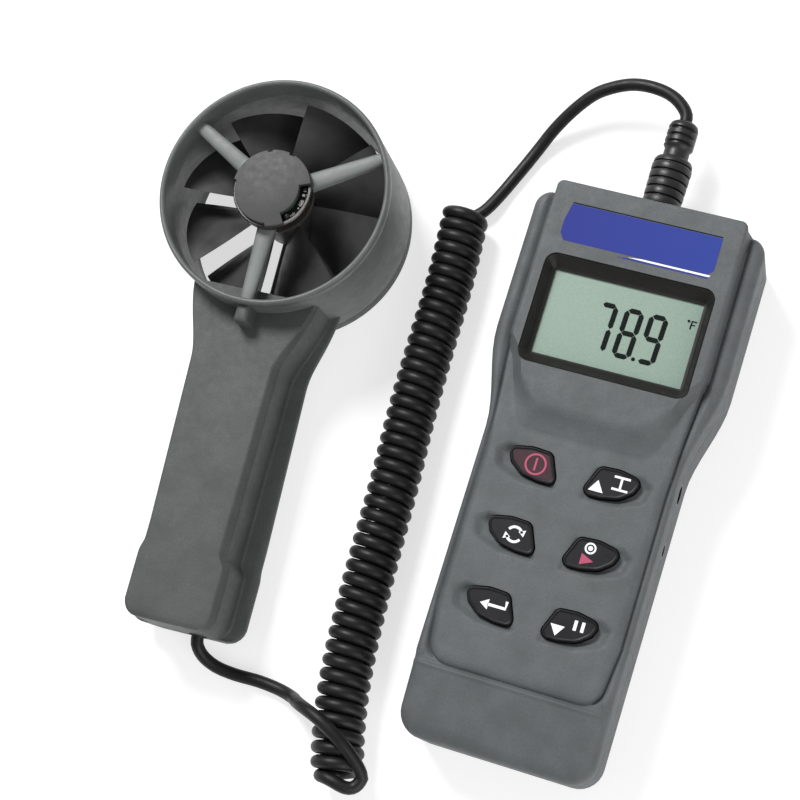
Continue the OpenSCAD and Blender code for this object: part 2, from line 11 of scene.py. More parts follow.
import bpy
import numpy as np
from mathutils import Matrix, Vector
from mathutils.geometry import delaunay_2d_cdt


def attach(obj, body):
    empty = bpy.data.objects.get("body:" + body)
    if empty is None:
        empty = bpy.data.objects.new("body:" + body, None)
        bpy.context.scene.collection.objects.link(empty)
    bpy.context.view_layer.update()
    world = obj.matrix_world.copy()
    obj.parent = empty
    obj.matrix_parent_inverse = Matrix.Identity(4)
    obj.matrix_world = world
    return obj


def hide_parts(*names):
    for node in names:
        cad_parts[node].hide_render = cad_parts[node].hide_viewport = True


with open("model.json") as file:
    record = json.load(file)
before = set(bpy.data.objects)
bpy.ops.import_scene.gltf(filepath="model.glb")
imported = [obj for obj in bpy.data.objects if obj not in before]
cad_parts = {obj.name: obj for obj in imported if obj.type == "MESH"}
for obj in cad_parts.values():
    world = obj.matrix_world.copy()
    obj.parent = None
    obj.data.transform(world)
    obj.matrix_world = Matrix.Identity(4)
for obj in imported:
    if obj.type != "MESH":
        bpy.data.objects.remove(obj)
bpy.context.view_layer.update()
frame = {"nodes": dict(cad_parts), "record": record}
MM = 0.001

# ---- dimensions

# Meter case
CASE_TOP = 89.0
CASE_BOTTOM = -89.0
SHOULDER_TOP = 86.5
HEAD_HALF = 37.0
GRIP_HALF = 31.0
PANEL_HEAD_HALF = 30.5
PANEL_GRIP_HALF = 28.5
PANEL_BOTTOM = -66.0
WAIST_Y = 8.0
HEAD_Y = 40.0
PARTING_Z = 15.0
PARTING_GAP = 0.15
LEDGE_Z = 28.5
KEYPAD_Z = 30.5
DEPTH = 34.0
STEP_Y = -67.3
STEP_Z = 29.3
FOOT_SLOPE = 0.15
EDGE_ROLL = 3.2
FOOT_ROLL = 4.6
BACK_ROLL = 2.4
SCOOP_DEPTH = 1.7
SCOOP_RUN = 3.2
KEY_WELL_Z = 26.9
SOCKET_R = 6.15
PLUG_Z = 17.0
POWER_JACK = (5, 15, 4.05)
DATA_JACK = (-13, 15, 3.05)
SCREW_PLACES = [(30, 78), (-30, 78), (25, -80), (-25, -80)]

# Battery door, in the back
DOOR_HALF = 19.8
DOOR_TOP_Y = -34.0
DOOR_T = 2.6
DOOR_GAP = 0.25
GRIP_ROWS = [(-79 + 2.6 * i, -77.7 + 2.6 * i) for i in range(5)]
GRIP_HALF_X = 9

# Display
VIEW_Y = 47.6
RECESS_HALF = (27.1, 17.9)
RECESS_CORNER = 3.8
VIEW_HALF = (23.8, 13.75)
WINDOW_Z = 29.2
LCD_Z = 28.75
SEGMENT_T = 0.12
DIGIT_HALF = (2.25, 7.35)
DIGIT_STROKE = 0.78
DIGIT_LEAN = 0.035
UNIT_X = 21
BEZEL_LOW = 28.0

# Keys: corners (x, y, r) of a left-hand key and of the hollow beside it
KEY_CORNERS = [
    (7.9, -3.9, 2.1), (3.9, 5.7, 2.3), (-2.5, 6.1, 9), (-9.9, 4.5, 2.1),
    (-8.0, 0.2, 3), (-4.2, -2.8, 6), (1.5, -3.9, 9),
]
SCOOP_CORNERS = [
    (8.8, -6.3, 1.8), (5.2, 5.4, 1), (-10.2, 6.3, 1.8), (-14.2, 3.6, 2.4),
    (-12.8, -2.8, 3.8), (-3.9, -6.1, 7),
]
KEY_X = 11.4
KEY_FIRST_Y = -1.2
KEY_ROW = 22.4
KEY_TOP = 31.1
KEY_SIDE = 2.6
MARK_Z = (KEY_TOP - 0.5, KEY_TOP - 0.03)

# Vane probe
PROBE_AT = (-117.0, 61.5)
PROBE_TURN = math.radians(3)
DUCT_R = 38.0
BORE_R = 36.0
DUCT_TOP = 40.0
PROBE_PARTING = 5.0
HANDLE_END = -140.5
PLATEAU_Z = 30.0
ARM_ANGLES = (30, 150, 270)
ARM_Z = 34.5
ARM_TOP = 37.5
HUB_TOP = 42.4
HUB_R = 12.9
HUB_FLOOR_Z = 38.8
HUB_BLOCK_Z = 38.7
HUB_BLOCKS = [  # angle, radius, depth, width and height of what shows in the slot
    (-49, 10.6, 1.5, 1.2, 1.5), (-37, 10.7, 1.1, 1.6, 1.1), (-14, 10.5, 1.6, 2.4, 1.3),
    (0, 10.6, 1.2, 1.0, 1.8), (11, 10.6, 1.4, 1.5, 1.2),
]
ARM_REACH = 36.3
SLOT_DEG = (-56, 17)
NECK_V = -56
NECK_LENGTH = 26
NECK_HALF = 26
NECK_R = 37.2
FOOT_V = -115.5
DUCT_STEPS = 160
PROBE_SCREWS = [(0, -58), (0, -125), (11, -90), (-11, -90)]
WHEEL_Z = 20.0
WHEEL_HUB_R = 9.6
BLADE_R = 34.5
BLADES = 8
BLADE_PHASE = 24

# Plug and cord
PLUG_Y = 89.5
BARREL_LENGTH = 17.2
BARREL_RIBS = 6
BOOT_SLOTS = (24.4, 26.8, 29.2)
BOOT_SLOT_HALF = 0.62
BOOT_SLOT_DEG = 120
CORD_D = 4.15
GLAND_U = 5.5
GLAND_Z = 9
GLAND_AT = (-104.2, -78, 9)
COIL_R_FOOT = 6.4
COIL_R_HEAD = 5.8
COIL_PITCH_CHANGE = 0.05
COIL_TURNS = 44
COIL_STEPS = 24
COIL_START_DEG = 90
COIL_EXTRA_DEG = 215
TAIL_ROUTE = [
    GLAND_AT, (-103.8, -81, 8.4), (-101.5, -84, 6.2), (-97, -86, 3.6),
    (-90.5, -86.6, 2), (-82, -86.4, 1.9), (-74.5, -87, 2.6), (-69, -88.2, 5.4),
    (-66, -89.2, 10.6), (-61.6, -90.4, 16), (-56.5, -92, 18.7), (-51.6, -94.2, 18.9),
    (-46.8, -97, 17.8), (-42.4, -100.4, 15.4), (-38.9, -104.2, 13), (-38, -107.6, 11.8),
    (-39.6, -110.2, 12.2), (-42.4, -110.6, 13.4),
]
COIL_ROUTE = [
    (-46.3, -110), (-47.6, -105), (-50.5, -95), (-53.5, -80), (-55.5, -62), (-56.8, -40),
    (-58, -13), (-59.4, 8), (-60.2, 31), (-60.6, 52), (-61.6, 68), (-62.8, 81),
]
LEAD_ROUTE = [
    (-56.4, 84.4, 3.4), (-54.4, 89.6, 2.2), (-50.6, 98.6, 1.95),
    (-47, 107, 2.6), (-43.2, 114.4, 5), (-38.2, 121.2, 8.2), (-32.6, 126.8, 11),
    (-27, 129.8, 13), (-21, 131.6, 14.6), (-15.5, 131.9, 15.6), (-10, 131.1, 16.3),
    (-5.6, 129.4, 16.8), (-2.2, 126.8, 17), (-0.4, 124.4, 17), (0, 122, 17),
]

# Camera
CAMERA_AT = Vector((100, -103, 621)) * MM
CAMERA_LOOKS = Vector((-0.2551, 0.1790, -0.9502))
CAMERA_UP = Vector((-0.2501, 0.9371, 0.2437))
CAMERA_LENS = 90
SENSOR_WIDTH = 36
NEAR_CLIP = 0.01

# Studio
STUDIO_MIDDLE = (-0.06, 0.01, 0.0)
WORLD_LIGHT = 0.42
FLOOR_GREY = 0.45
FLOOR_GLOW = 0.66
FLOOR_HALF = 3.0


# ---- materials

class Shader:
    """A node material under construction, in object coordinates (metres)."""

    def __init__(self, name, base, rough, metallic=0.0):
        self.material = bpy.data.materials.new(name)
        self.material.use_nodes = True
        self.tree = self.material.node_tree
        self.bsdf = self.tree.nodes["Principled BSDF"]
        self.bsdf.inputs["Base Color"].default_value = (*base, 1)
        self.bsdf.inputs["Roughness"].default_value = rough
        self.bsdf.inputs["Metallic"].default_value = metallic
        self.coords = self.tree.nodes.new("ShaderNodeTexCoord")

    def node(self, kind, **inputs):
        made = self.tree.nodes.new(kind)
        for name, value in inputs.items():
            socket = made.inputs[name.replace("_", " ")]
            if hasattr(value, "is_output"):
                self.tree.links.new(value, socket)
            else:
                socket.default_value = value
        return made

    def noise(self, size_mm, detail=3.0, stretch=(1, 1, 1)):
        """Noise whose lumps are about size_mm across."""
        mapping = self.node("ShaderNodeMapping", Vector=self.coords.outputs["Object"])
        mapping.inputs["Scale"].default_value = stretch
        made = self.node("ShaderNodeTexNoise", Vector=mapping.outputs["Vector"],
                         Scale=1 / (size_mm * MM), Detail=detail)
        return made.outputs["Fac"]

    def ramp(self, fac, stops):
        made = self.node("ShaderNodeValToRGB", Fac=fac)
        elements = made.color_ramp.elements
        while len(elements) < len(stops):
            elements.new(0.5)
        for element, (place, colour) in zip(elements, stops):
            element.position = place
            element.color = (*colour, 1)
        return made.outputs["Color"]

    def product(self, a, b):
        made = self.tree.nodes.new("ShaderNodeMath")
        made.operation = "MULTIPLY"
        self.tree.links.new(a, made.inputs[0])
        self.tree.links.new(b, made.inputs[1])
        return made.outputs["Value"]

    def spread(self, fac, low, high):
        """Noise's usual span stretched to low..high."""
        made = self.node("ShaderNodeMapRange", Value=fac, From_Min=0.3, From_Max=0.7,
                         To_Min=low, To_Max=high)
        return made.outputs["Result"]

    def along(self, axis, low_mm, high_mm):
        """0 to 1 between two places on an axis."""
        place = self.node("ShaderNodeSeparateXYZ", Vector=self.coords.outputs["Object"])
        made = self.node("ShaderNodeMapRange", Value=place.outputs[axis],
                         From_Min=low_mm * MM, From_Max=high_mm * MM)
        return made.outputs["Result"]

    def colour(self, output):
        self.tree.links.new(output, self.bsdf.inputs["Base Color"])

    def roughness(self, output):
        self.tree.links.new(output, self.bsdf.inputs["Roughness"])

    def bump(self, fac, depth_mm, strength=1.0):
        made = self.node("ShaderNodeBump", Height=fac, Strength=strength, Distance=depth_mm * MM)
        before = self.bsdf.inputs["Normal"].links
        if before:
            self.tree.links.new(before[0].from_socket, made.inputs["Normal"])
        self.tree.links.new(made.outputs["Normal"], self.bsdf.inputs["Normal"])


def shade(colour, factor):
    return tuple(min(1.0, c * factor) for c in colour)


def moulded(name, base, rough, grain_mm=0.28, grain_depth=0.05, mottle=0.12, mottle_mm=9,
            gloss=0.5, speckle_mm=0):
    """Moulded plastic or rubber: eroded grain, faint mottling and uneven gloss."""
    s = Shader(name, base, rough)
    s.bsdf.inputs["Specular IOR Level"].default_value = gloss
    patches, low, high = s.noise(mottle_mm, 2), 0.35, 0.65
    if speckle_mm:
        patches, low, high = s.product(patches, s.noise(speckle_mm, 2)), 0.14, 0.37
    s.colour(s.ramp(patches, [(low, shade(base, 1 - mottle)), (high, shade(base, 1 + mottle))]))
    s.roughness(s.spread(s.noise(2.5, 4), rough - 0.06, rough + 0.08))
    s.bump(s.noise(grain_mm, 2), grain_depth)
    return s.material


def metal(name, base, rough, stretch=(1, 1, 12)):
    s = Shader(name, base, rough, metallic=1.0)
    brushed = s.noise(0.4, 3, stretch)
    s.colour(s.ramp(brushed, [(0.3, shade(base, 0.85)), (0.7, shade(base, 1.1))]))
    s.roughness(s.spread(brushed, rough - 0.08, rough + 0.1))
    return s.material


def printed(name, base, rough=0.45, gloss=0.25):
    """Printing ink or lacquer, with a fine screen grain."""
    s = Shader(name, base, rough)
    s.bsdf.inputs["Specular IOR Level"].default_value = gloss
    grain = s.noise(0.15, 2)
    s.colour(s.ramp(grain, [(0.3, shade(base, 0.9)), (0.7, shade(base, 1.08))]))
    return s.material


def lcd_material():
    s = Shader("lcd_panel", (0.30, 0.38, 0.32), 0.4)
    grain = s.noise(0.5, 5)
    s.colour(s.ramp(grain, [(0.3, (0.213, 0.295, 0.245)), (0.7, (0.257, 0.351, 0.292))]))
    return s.material


def window_material():
    s = Shader("window", (0.05, 0.06, 0.05), 0.08)
    s.bsdf.inputs["Alpha"].default_value = 0.03
    s.bsdf.inputs["Specular IOR Level"].default_value = 0.2
    s.roughness(s.spread(s.noise(4, 3), 0.04, 0.12))
    return s.material


def band_material():
    s = Shader("name_band", (0.013, 0.03, 0.22), 0.5)
    s.bsdf.inputs["Specular IOR Level"].default_value = 0.2
    across = s.along("X", -25, 25)
    s.colour(s.ramp(across, [(0.0, (0.010, 0.020, 0.20)), (1.0, (0.018, 0.038, 0.25))]))
    s.bump(s.noise(0.3, 2), 0.02)
    return s.material


def battery_material():
    s = Shader("battery_wrap", (0.3, 0.25, 0.1), 0.3)
    along = s.along("Y", -84, -36)
    s.colour(s.ramp(along, [(0.68, (0.02, 0.02, 0.022)), (0.70, (0.55, 0.33, 0.08))]))
    s.roughness(s.spread(s.noise(3, 3), 0.25, 0.4))
    return s.material


def board_material():
    s = Shader("circuit_board", (0.02, 0.12, 0.05), 0.4)
    tracks = s.node("ShaderNodeTexVoronoi", Vector=s.coords.outputs["Object"], Scale=400.0)
    tracks.distance = "MANHATTAN"
    s.colour(s.ramp(tracks.outputs["Distance"],
                    [(0.25, (0.03, 0.17, 0.07)), (0.45, (0.015, 0.09, 0.04))]))
    return s.material


MATERIALS = {
    "case_plastic": moulded("case_plastic", (0.083, 0.091, 0.094), 0.6, mottle=0.13,
                            gloss=0.4, speckle_mm=0.45),
    "probe_plastic": moulded("probe_plastic", (0.058, 0.064, 0.0625), 0.55, mottle=0.14,
                             gloss=0.4, speckle_mm=0.45),
    # The probe plastic made lighter for the duct ring: painted light on the ring's outer wall,
    # standing in for the light that falls on it
    "duct_plastic": moulded("duct_plastic", (0.096, 0.103, 0.099), 0.45, mottle=0.14,
                            gloss=0.5, speckle_mm=0.45),
    "name_band": band_material(),
    "bezel_plastic": moulded("bezel_plastic", (0.014, 0.013, 0.012), 0.5, 0.2, 0.02, gloss=0.25),
    "window_glass": window_material(),
    "lcd_panel": lcd_material(),
    "lcd_ink": printed("lcd_ink", (0.003, 0.006, 0.005), 0.7, 0.1),
    "black_rubber": moulded("black_rubber", (0.012, 0.012, 0.013), 0.55, 0.3, 0.03, gloss=0.3),
    "key_rubber": moulded("key_rubber", (0.006, 0.006, 0.007), 0.42, 0.2, 0.02, gloss=0.2),
    "key_face": moulded("key_face", (0.008, 0.008, 0.010), 0.45, 0.2, 0.02, gloss=0.25),
    "key_power_face": moulded("key_power_face", (0.032, 0.010, 0.016), 0.5, 0.2, 0.02, gloss=0.3),
    "circuit_board": board_material(),
    "black_plastic": moulded("black_plastic", (0.012, 0.011, 0.011), 0.35, 0.25, 0.02, gloss=0.35),
    "steel": metal("steel", (0.55, 0.55, 0.56), 0.3),
    "battery_wrap": battery_material(),
    "spider_plastic": moulded("spider_plastic", (0.15, 0.162, 0.158), 0.5, 0.3, 0.06, 0.1,
                              gloss=0.4),
    "hub_black": moulded("hub_black", (0.020, 0.018, 0.016), 0.28, 0.3, 0.01),
    "skirt_plastic": moulded("skirt_plastic", (0.07, 0.065, 0.06), 0.25, 0.3, 0.01, 0.15, 4),
    "cap_plastic": moulded("cap_plastic", (0.044, 0.044, 0.044), 0.55, 0.3, 0.06, 0.05, 5,
                           gloss=0.4),
    "brass": metal("brass", (0.75, 0.53, 0.2), 0.28),
    "impeller_plastic": moulded("impeller_plastic", (0.042, 0.042, 0.042), 0.42, 0.3, 0.03, 0.2,
                                gloss=0.3),
    "cord_jacket": moulded("cord_jacket", (0.006, 0.006, 0.0065), 0.46, 0.5, 0.03, 0.25,
                           gloss=0.3),
    "plug_plastic": moulded("plug_plastic", (0.013, 0.013, 0.014), 0.4, 0.3, 0.03, 0.2, gloss=0.4),
    "white_print": printed("white_print", (0.82, 0.83, 0.84)),
    "red_print": printed("red_print", (0.40, 0.07, 0.13)),
}


# ---- mesh tools

def piece(name, points, faces, body, slot, material=None, replaces=(), sharp_deg=35):
    """A shown piece from points in millimetres."""
    mesh = bpy.data.meshes.new(name)
    mesh.from_pydata([Vector(p) * MM for p in points], [], faces)
    mesh.validate()
    mesh.update()
    mesh.shade_smooth()
    mesh.set_sharp_from_angle(angle=math.radians(sharp_deg))
    made = bpy.data.objects.new(name, mesh)
    bpy.context.scene.collection.objects.link(made)
    mesh.materials.append(MATERIALS[material or slot])
    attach(made, body)
    if replaces:
        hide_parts(*replaces)
    return made


def loft(rings, closed=True, caps=True):
    """Faces of a skin over equal rings of points, and its points."""
    count = len(rings[0])
    points = [p for ring in rings for p in ring]
    faces = []
    for i in range(len(rings) - 1):
        for k in range(count if closed else count - 1):
            k2 = (k + 1) % count
            faces.append((i * count + k, i * count + k2,
                          (i + 1) * count + k2, (i + 1) * count + k))
    if caps:
        faces.append(tuple(range(count))[::-1])
        faces.append(tuple((len(rings) - 1) * count + k for k in range(count)))
    return points, faces


def joined(*parts):
    """One (points, faces) pair from several."""
    points, faces = [], []
    for more_points, more_faces in parts:
        shift = len(points)
        points += list(more_points)
        faces += [tuple(shift + k for k in face) for face in more_faces]
    return points, faces


def moved(part, place):
    """part with each point put through place, a function."""
    points, faces = part
    return [place(p) for p in points], faces


def shifted(part, x, y, z=0):
    return moved(part, lambda p: (p[0] + x, p[1] + y, p[2] + z))


def lathe(profile, steps=96, place=lambda p: p, closed=False):
    """Turned shape about z from (r, z) pairs; closed profiles make a ring."""
    rings = []
    for r, z in profile:
        ring = []
        for k in range(steps):
            a = 2 * math.pi * k / steps
            ring.append(place((r * math.cos(a), r * math.sin(a), z)))
        rings.append(ring)
    if closed:
        rings.append(rings[0])
        points, faces = loft(rings, caps=False)
        last, count = len(rings) - 1, steps
        faces = [tuple(p - last * count if p >= last * count else p for p in f) for f in faces]
        return points[:last * count], faces
    return loft(rings)


def at_probe(p):
    """A point in the probe's frame, put into the CAD frame."""
    c, s = math.cos(PROBE_TURN), math.sin(PROBE_TURN)
    return (PROBE_AT[0] + p[0] * c - p[1] * s, PROBE_AT[1] + p[0] * s + p[1] * c, p[2])


def on_probe(name, part, slot, material=None, body="probe", **more):
    """A shown piece given in the probe's frame."""
    return piece(name, *moved(part, at_probe), body, slot, material, **more)


def along_plug(p):
    """Turns a lathe about z into one along +Y through the plug's axis."""
    return (p[0], p[2], PLUG_Z - p[1])


def along_gland(p):
    """Turns a lathe about z into one into the handle's foot, in the probe's frame."""
    return (GLAND_U + p[0], HANDLE_END + p[2], GLAND_Z - p[1])


def spline(route, step):
    """Points about step apart on a smooth curve through the route's points."""
    p = [np.array(q, float) for q in route]
    p = [2 * p[0] - p[1], *p, 2 * p[-1] - p[-2]]
    made = []
    for i in range(1, len(p) - 2):
        pieces = max(2, int(np.linalg.norm(p[i + 1] - p[i]) / step))
        for k in range(pieces):
            t = k / pieces
            made.append(0.5 * (2 * p[i] + (p[i + 1] - p[i - 1]) * t
                               + (2 * p[i - 1] - 5 * p[i] + 4 * p[i + 1] - p[i + 2]) * t * t
                               + (3 * p[i] - p[i - 1] - 3 * p[i + 1] + p[i + 2]) * t ** 3))
    made.append(p[-2])
    return np.array(made)


def arc_lengths(points):
    return np.concatenate([[0], np.cumsum(np.linalg.norm(np.diff(points, axis=0), axis=1))])


# ---- outlines and reliefs

def smooth(t):
    t = np.clip(t, 0, 1)
    return t * t * (3 - 2 * t)


def fillet(depth, radius):
    """Drop of a rounded edge at a depth inside it."""
    rest = radius - np.clip(depth, 0, radius)
    return radius - np.sqrt(np.maximum(radius ** 2 - rest ** 2, 0))


def rounded(corners, inset=0.0, arc=7):
    """Outline through corners (x, y, radius), counterclockwise, moved inwards by inset."""
    count = len(corners)
    at = [np.array(c[:2], float) for c in corners]
    ways = [(at[(i + 1) % count] - at[i]) / np.linalg.norm(at[(i + 1) % count] - at[i])
            for i in range(count)]
    sides = [np.array((-w[1], w[0])) for w in ways]
    outline = []
    for i in range(count):
        before, after = sides[i - 1], sides[i]
        corner = at[i] + (before + after) * inset / (1 + before @ after)
        if not corners[i][2]:
            outline.append(corner)
            continue
        turn = math.atan2(np.cross(ways[i - 1], ways[i]), ways[i - 1] @ ways[i])
        bend = math.copysign(1, turn)
        radius = max(corners[i][2] - bend * inset, 0.05)
        start = corner - ways[i - 1] * radius * math.tan(abs(turn) / 2)
        centre = start + bend * before * radius
        for k in range(arc + 1):
            a = turn * k / arc
            c, s = math.cos(a), math.sin(a)
            arm = start - centre
            outline.append(centre + np.array((arm[0] * c - arm[1] * s, arm[0] * s + arm[1] * c)))
    return np.array(outline)


def dense(outline, step):
    """The closed outline with points no more than step apart."""
    made = []
    for a, b in zip(outline, np.roll(outline, -1, axis=0)):
        pieces = max(1, math.ceil(np.linalg.norm(b - a) / step))
        made += [a + (b - a) * k / pieces for k in range(pieces)]
    return np.array(made)


def inside_distance(points, outline):
    """Distance of each (x, y) from a closed outline, positive inside."""
    best = np.full(len(points), 1e9)
    inside = np.zeros(len(points), bool)
    for a, b in zip(outline, np.roll(outline, -1, axis=0)):
        way = b - a
        rel = points - a
        t = np.clip(rel @ way / max(way @ way, 1e-12), 0, 1)
        best = np.minimum(best, np.linalg.norm(rel - t[:, None] * way, axis=1))
        crosses = (a[1] > points[:, 1]) != (b[1] > points[:, 1])
        x = a[0] + (points[:, 1] - a[1]) * way[0] / (way[1] or 1e-12)
        inside ^= crosses & (points[:, 0] < x)
    return np.where(inside, best, -best)


def relief(within, lines, height, base, wells=(), step=1.6, flip=False):
    """A closed solid with a modelled top.

    within(points) is positive inside the plan, and lines are loops that the mesh
    follows. height(points) gives the top, and the walls go down to base. wells are
    (outline, floor) pairs. With flip the solid is upside down: heights count down.
    """
    loops = [dense(line, step) for line in lines] + [dense(w[0], 0.8) for w in wells]
    low, high = np.min(np.concatenate(loops), axis=0), np.max(np.concatenate(loops), axis=0)
    grid = np.array([(x, y) for x in np.arange(low[0], high[0], step)
                     for y in np.arange(low[1], high[1], step)])
    flat, edges = [*grid], []
    for loop in loops:
        first = len(flat)
        flat += [*loop]
        edges += [(first + k, first + (k + 1) % len(loop)) for k in range(len(loop))]
    points, _, faces, *_ = delaunay_2d_cdt([Vector(p) for p in flat], edges, [], 0, 1e-4)
    plan = np.array([tuple(p) for p in points])
    centres = np.array([plan[list(f)].mean(axis=0) for f in faces])
    keep = within(centres) > 0
    for outline, _ in wells:
        keep &= inside_distance(centres, outline) < 0
    faces = [tuple(f) for f, kept in zip(faces, keep) if kept]
    used = sorted({k for f in faces for k in f})
    place = {k: i for i, k in enumerate(used)}
    plan = plan[used]
    top = height(plan)
    shape = [(x, y, z) for (x, y), z in zip(plan, top)]
    faces = [tuple(place[k] for k in f) for f in faces]
    follows = {}
    directed = {(f[k], f[(k + 1) % 3]) for f in faces for k in range(3)}
    for a, b in directed:
        if (b, a) not in directed:
            follows[a] = b
    while follows:
        start = next(iter(follows))
        ring, at = [start], follows.pop(start)
        while at != start and at in follows:
            ring.append(at)
            at = follows.pop(at)
        middle = plan[ring]
        floor = base
        for outline, well_floor in wells:
            if np.max(np.abs(inside_distance(middle, outline))) < 0.05:
                floor = well_floor
        first = len(shape)
        shape += [(x, y, floor) for x, y in middle]
        count = len(ring)
        for k in range(count):
            k2 = (k + 1) % count
            faces.append((ring[k2], ring[k], first + k, first + k2))
        faces.append(tuple(first + k for k in range(count))[::-1])
    if flip:
        return [(x, y, -z) for x, y, z in shape], [f[::-1] for f in faces]
    return shape, faces


def prism(outline, low, high, bevel=0.0):
    """A flat solid between two levels, its top edge taken in by bevel corners."""
    rings = [[(x, y, low) for x, y in outline], [(x, y, high - bevel) for x, y in outline]]
    if bevel:
        middle = np.mean(outline, axis=0)
        reach = np.max(np.linalg.norm(outline - middle, axis=1))
        rings.append([(*(middle + (p - middle) * (1 - bevel / reach)), high) for p in outline])
    return loft(rings)


def skin(rows, columns, place, around=True):
    """A closed solid from place(row, column) points; columns run round it."""
    return loft([[place(r, c) for c in columns] for r in rows], closed=around)


def cut(shown, cutters, overlapping=False):
    """Cuts closed (points, faces) solids out of a shown piece for good."""
    points, faces = joined(*cutters)
    mesh = bpy.data.meshes.new("cutter")
    mesh.from_pydata([Vector(p) * MM for p in points], [], faces)
    cutter = bpy.data.objects.new("cutter", mesh)
    bpy.context.scene.collection.objects.link(cutter)
    step = shown.modifiers.new("cut", "BOOLEAN")
    step.object = cutter
    step.operation = "DIFFERENCE"
    step.solver = "EXACT"
    step.use_self = overlapping
    graph = bpy.context.evaluated_depsgraph_get()
    made = bpy.data.meshes.new_from_object(shown.evaluated_get(graph))
    shown.modifiers.clear()
    shown.data = made
    made.shade_smooth()
    made.set_sharp_from_angle(angle=math.radians(35))
    bpy.data.objects.remove(cutter)


def turned(part, degrees):
    c, s = math.cos(math.radians(degrees)), math.sin(math.radians(degrees))
    return moved(part, lambda p: (p[0] * c - p[1] * s, p[0] * s + p[1] * c, p[2]))


# ---- meter case

def both_sides(right):
    """Corners of a symmetric outline from its right-hand half, listed upwards."""
    return right + [(-x, y, r) for x, y, r in reversed(right)]


def box_corners(half, low, high, radius):
    return both_sides([(half, low, radius), (half, high, radius)])


def waisted(grip, head):
    """The waist curve between two half widths, as corners."""
    made = []
    for k in range(9):
        y = WAIST_Y + (HEAD_Y - WAIST_Y) * k / 8
        made.append((grip + (head - grip) * float(smooth(k / 8)), y, 0))
    return made


CASE_CORNERS = both_sides([(GRIP_HALF, CASE_BOTTOM, 8), *waisted(GRIP_HALF, HEAD_HALF),
                           (HEAD_HALF, SHOULDER_TOP, 5.5)])
PANEL_CORNERS = both_sides([(26.6, PANEL_BOTTOM, 7), (PANEL_GRIP_HALF, -47, 14),
                            *waisted(PANEL_GRIP_HALF, PANEL_HEAD_HALF),
                            (PANEL_HEAD_HALF, CASE_TOP, 2.2)])
BLOCK_CORNERS = both_sides([(PANEL_HEAD_HALF, HEAD_Y, 0), (PANEL_HEAD_HALF, CASE_TOP, 2.2)])
TONGUE_CORNERS = both_sides([(21.5, 9.5, 7), (28.6, 31, 8), (38, 42, 0), (38, 96, 0)])
RECESS_CORNERS = box_corners(RECESS_HALF[0], VIEW_Y - RECESS_HALF[1], VIEW_Y + RECESS_HALF[1],
                             RECESS_CORNER)


def key_places():
    """(name, side, row) of the six keys; side is -1 left, 1 right."""
    return [("power", -1, 0), ("mode", -1, 1), ("enter", -1, 2),
            ("max_min", 1, 0), ("record", 1, 1), ("hold", 1, 2)]


def at_key(outline, side, row):
    """An outline of a left-hand key put in its place, still counterclockwise."""
    x, y = outline[:, 0] * -side, outline[:, 1]
    placed = np.column_stack([x + side * KEY_X, y + KEY_FIRST_Y - row * KEY_ROW])
    return placed[::-1] if side > 0 else placed


def case_within(points):
    return np.maximum(inside_distance(points, rounded(CASE_CORNERS)),
                      inside_distance(points, rounded(BLOCK_CORNERS)))


def front_height(points):
    y = points[:, 1]
    climb = inside_distance(points, rounded(TONGUE_CORNERS)) / (3 + 7 * smooth((26 - y) / 14))
    ramp = 0.75 * np.clip(climb, 0, 1) + 0.25 * smooth(climb)
    deep = inside_distance(points, rounded(PANEL_CORNERS))
    round_edge = 0.9 + 1.7 * smooth((12 - y) / 12)
    panel = KEYPAD_Z + (DEPTH - KEYPAD_Z) * ramp - fillet(deep, round_edge)
    slope = 4.6 - 3.4 * smooth((-58 - y) / 5)
    panel = panel + np.minimum(deep, 0) * slope
    away = np.maximum(-deep, 0)
    shelf = LEDGE_Z - 0.9 * (1 - smooth(away / 1.4)) + 0.8 * smooth((away - 0.6) / 2.4)
    valley = LEDGE_Z + (STEP_Z - LEDGE_Z) * smooth((STEP_Y + 1.3 - y) / 1.3)
    shelf = np.where(y < STEP_Y + 3, valley, shelf)
    foot = STEP_Z - (STEP_Y - y) * FOOT_SLOPE - 0.35 * smooth((STEP_Y - y) / 1.2)
    shelf = np.where(y < STEP_Y, foot, shelf)
    edge = inside_distance(points, rounded(CASE_CORNERS))
    shelf = shelf - fillet(edge, EDGE_ROLL + (FOOT_ROLL - EDGE_ROLL) * smooth((-63 - y) / 6))
    top = np.where(edge < -0.01, panel, np.maximum(panel, shelf))
    for _, column, row in key_places():
        scoop = inside_distance(points, at_key(rounded(SCOOP_CORNERS), column, row))
        top = top - SCOOP_DEPTH * smooth(scoop / SCOOP_RUN)
    return top


def straight(y):
    return np.array([(-40, y), (40, y), (40, y + 0.01), (-40, y + 0.01)])


def drum_x(radius, x_low, x_high, y, z):
    return moved(lathe([(radius, x_low), (radius, x_high)], 48),
                 lambda p: (p[2], y + p[0], z + p[1]))


def drum_y(radius, y_low, y_high):
    return moved(lathe([(radius, y_low), (radius, y_high)], 64), along_plug)


def port_cutters():
    cutters = [drum_y(SOCKET_R, 76, 95)]
    for y, z, radius in (POWER_JACK, DATA_JACK):
        cutters.append(drum_x(radius, 18, 36, y, z))
    return cutters


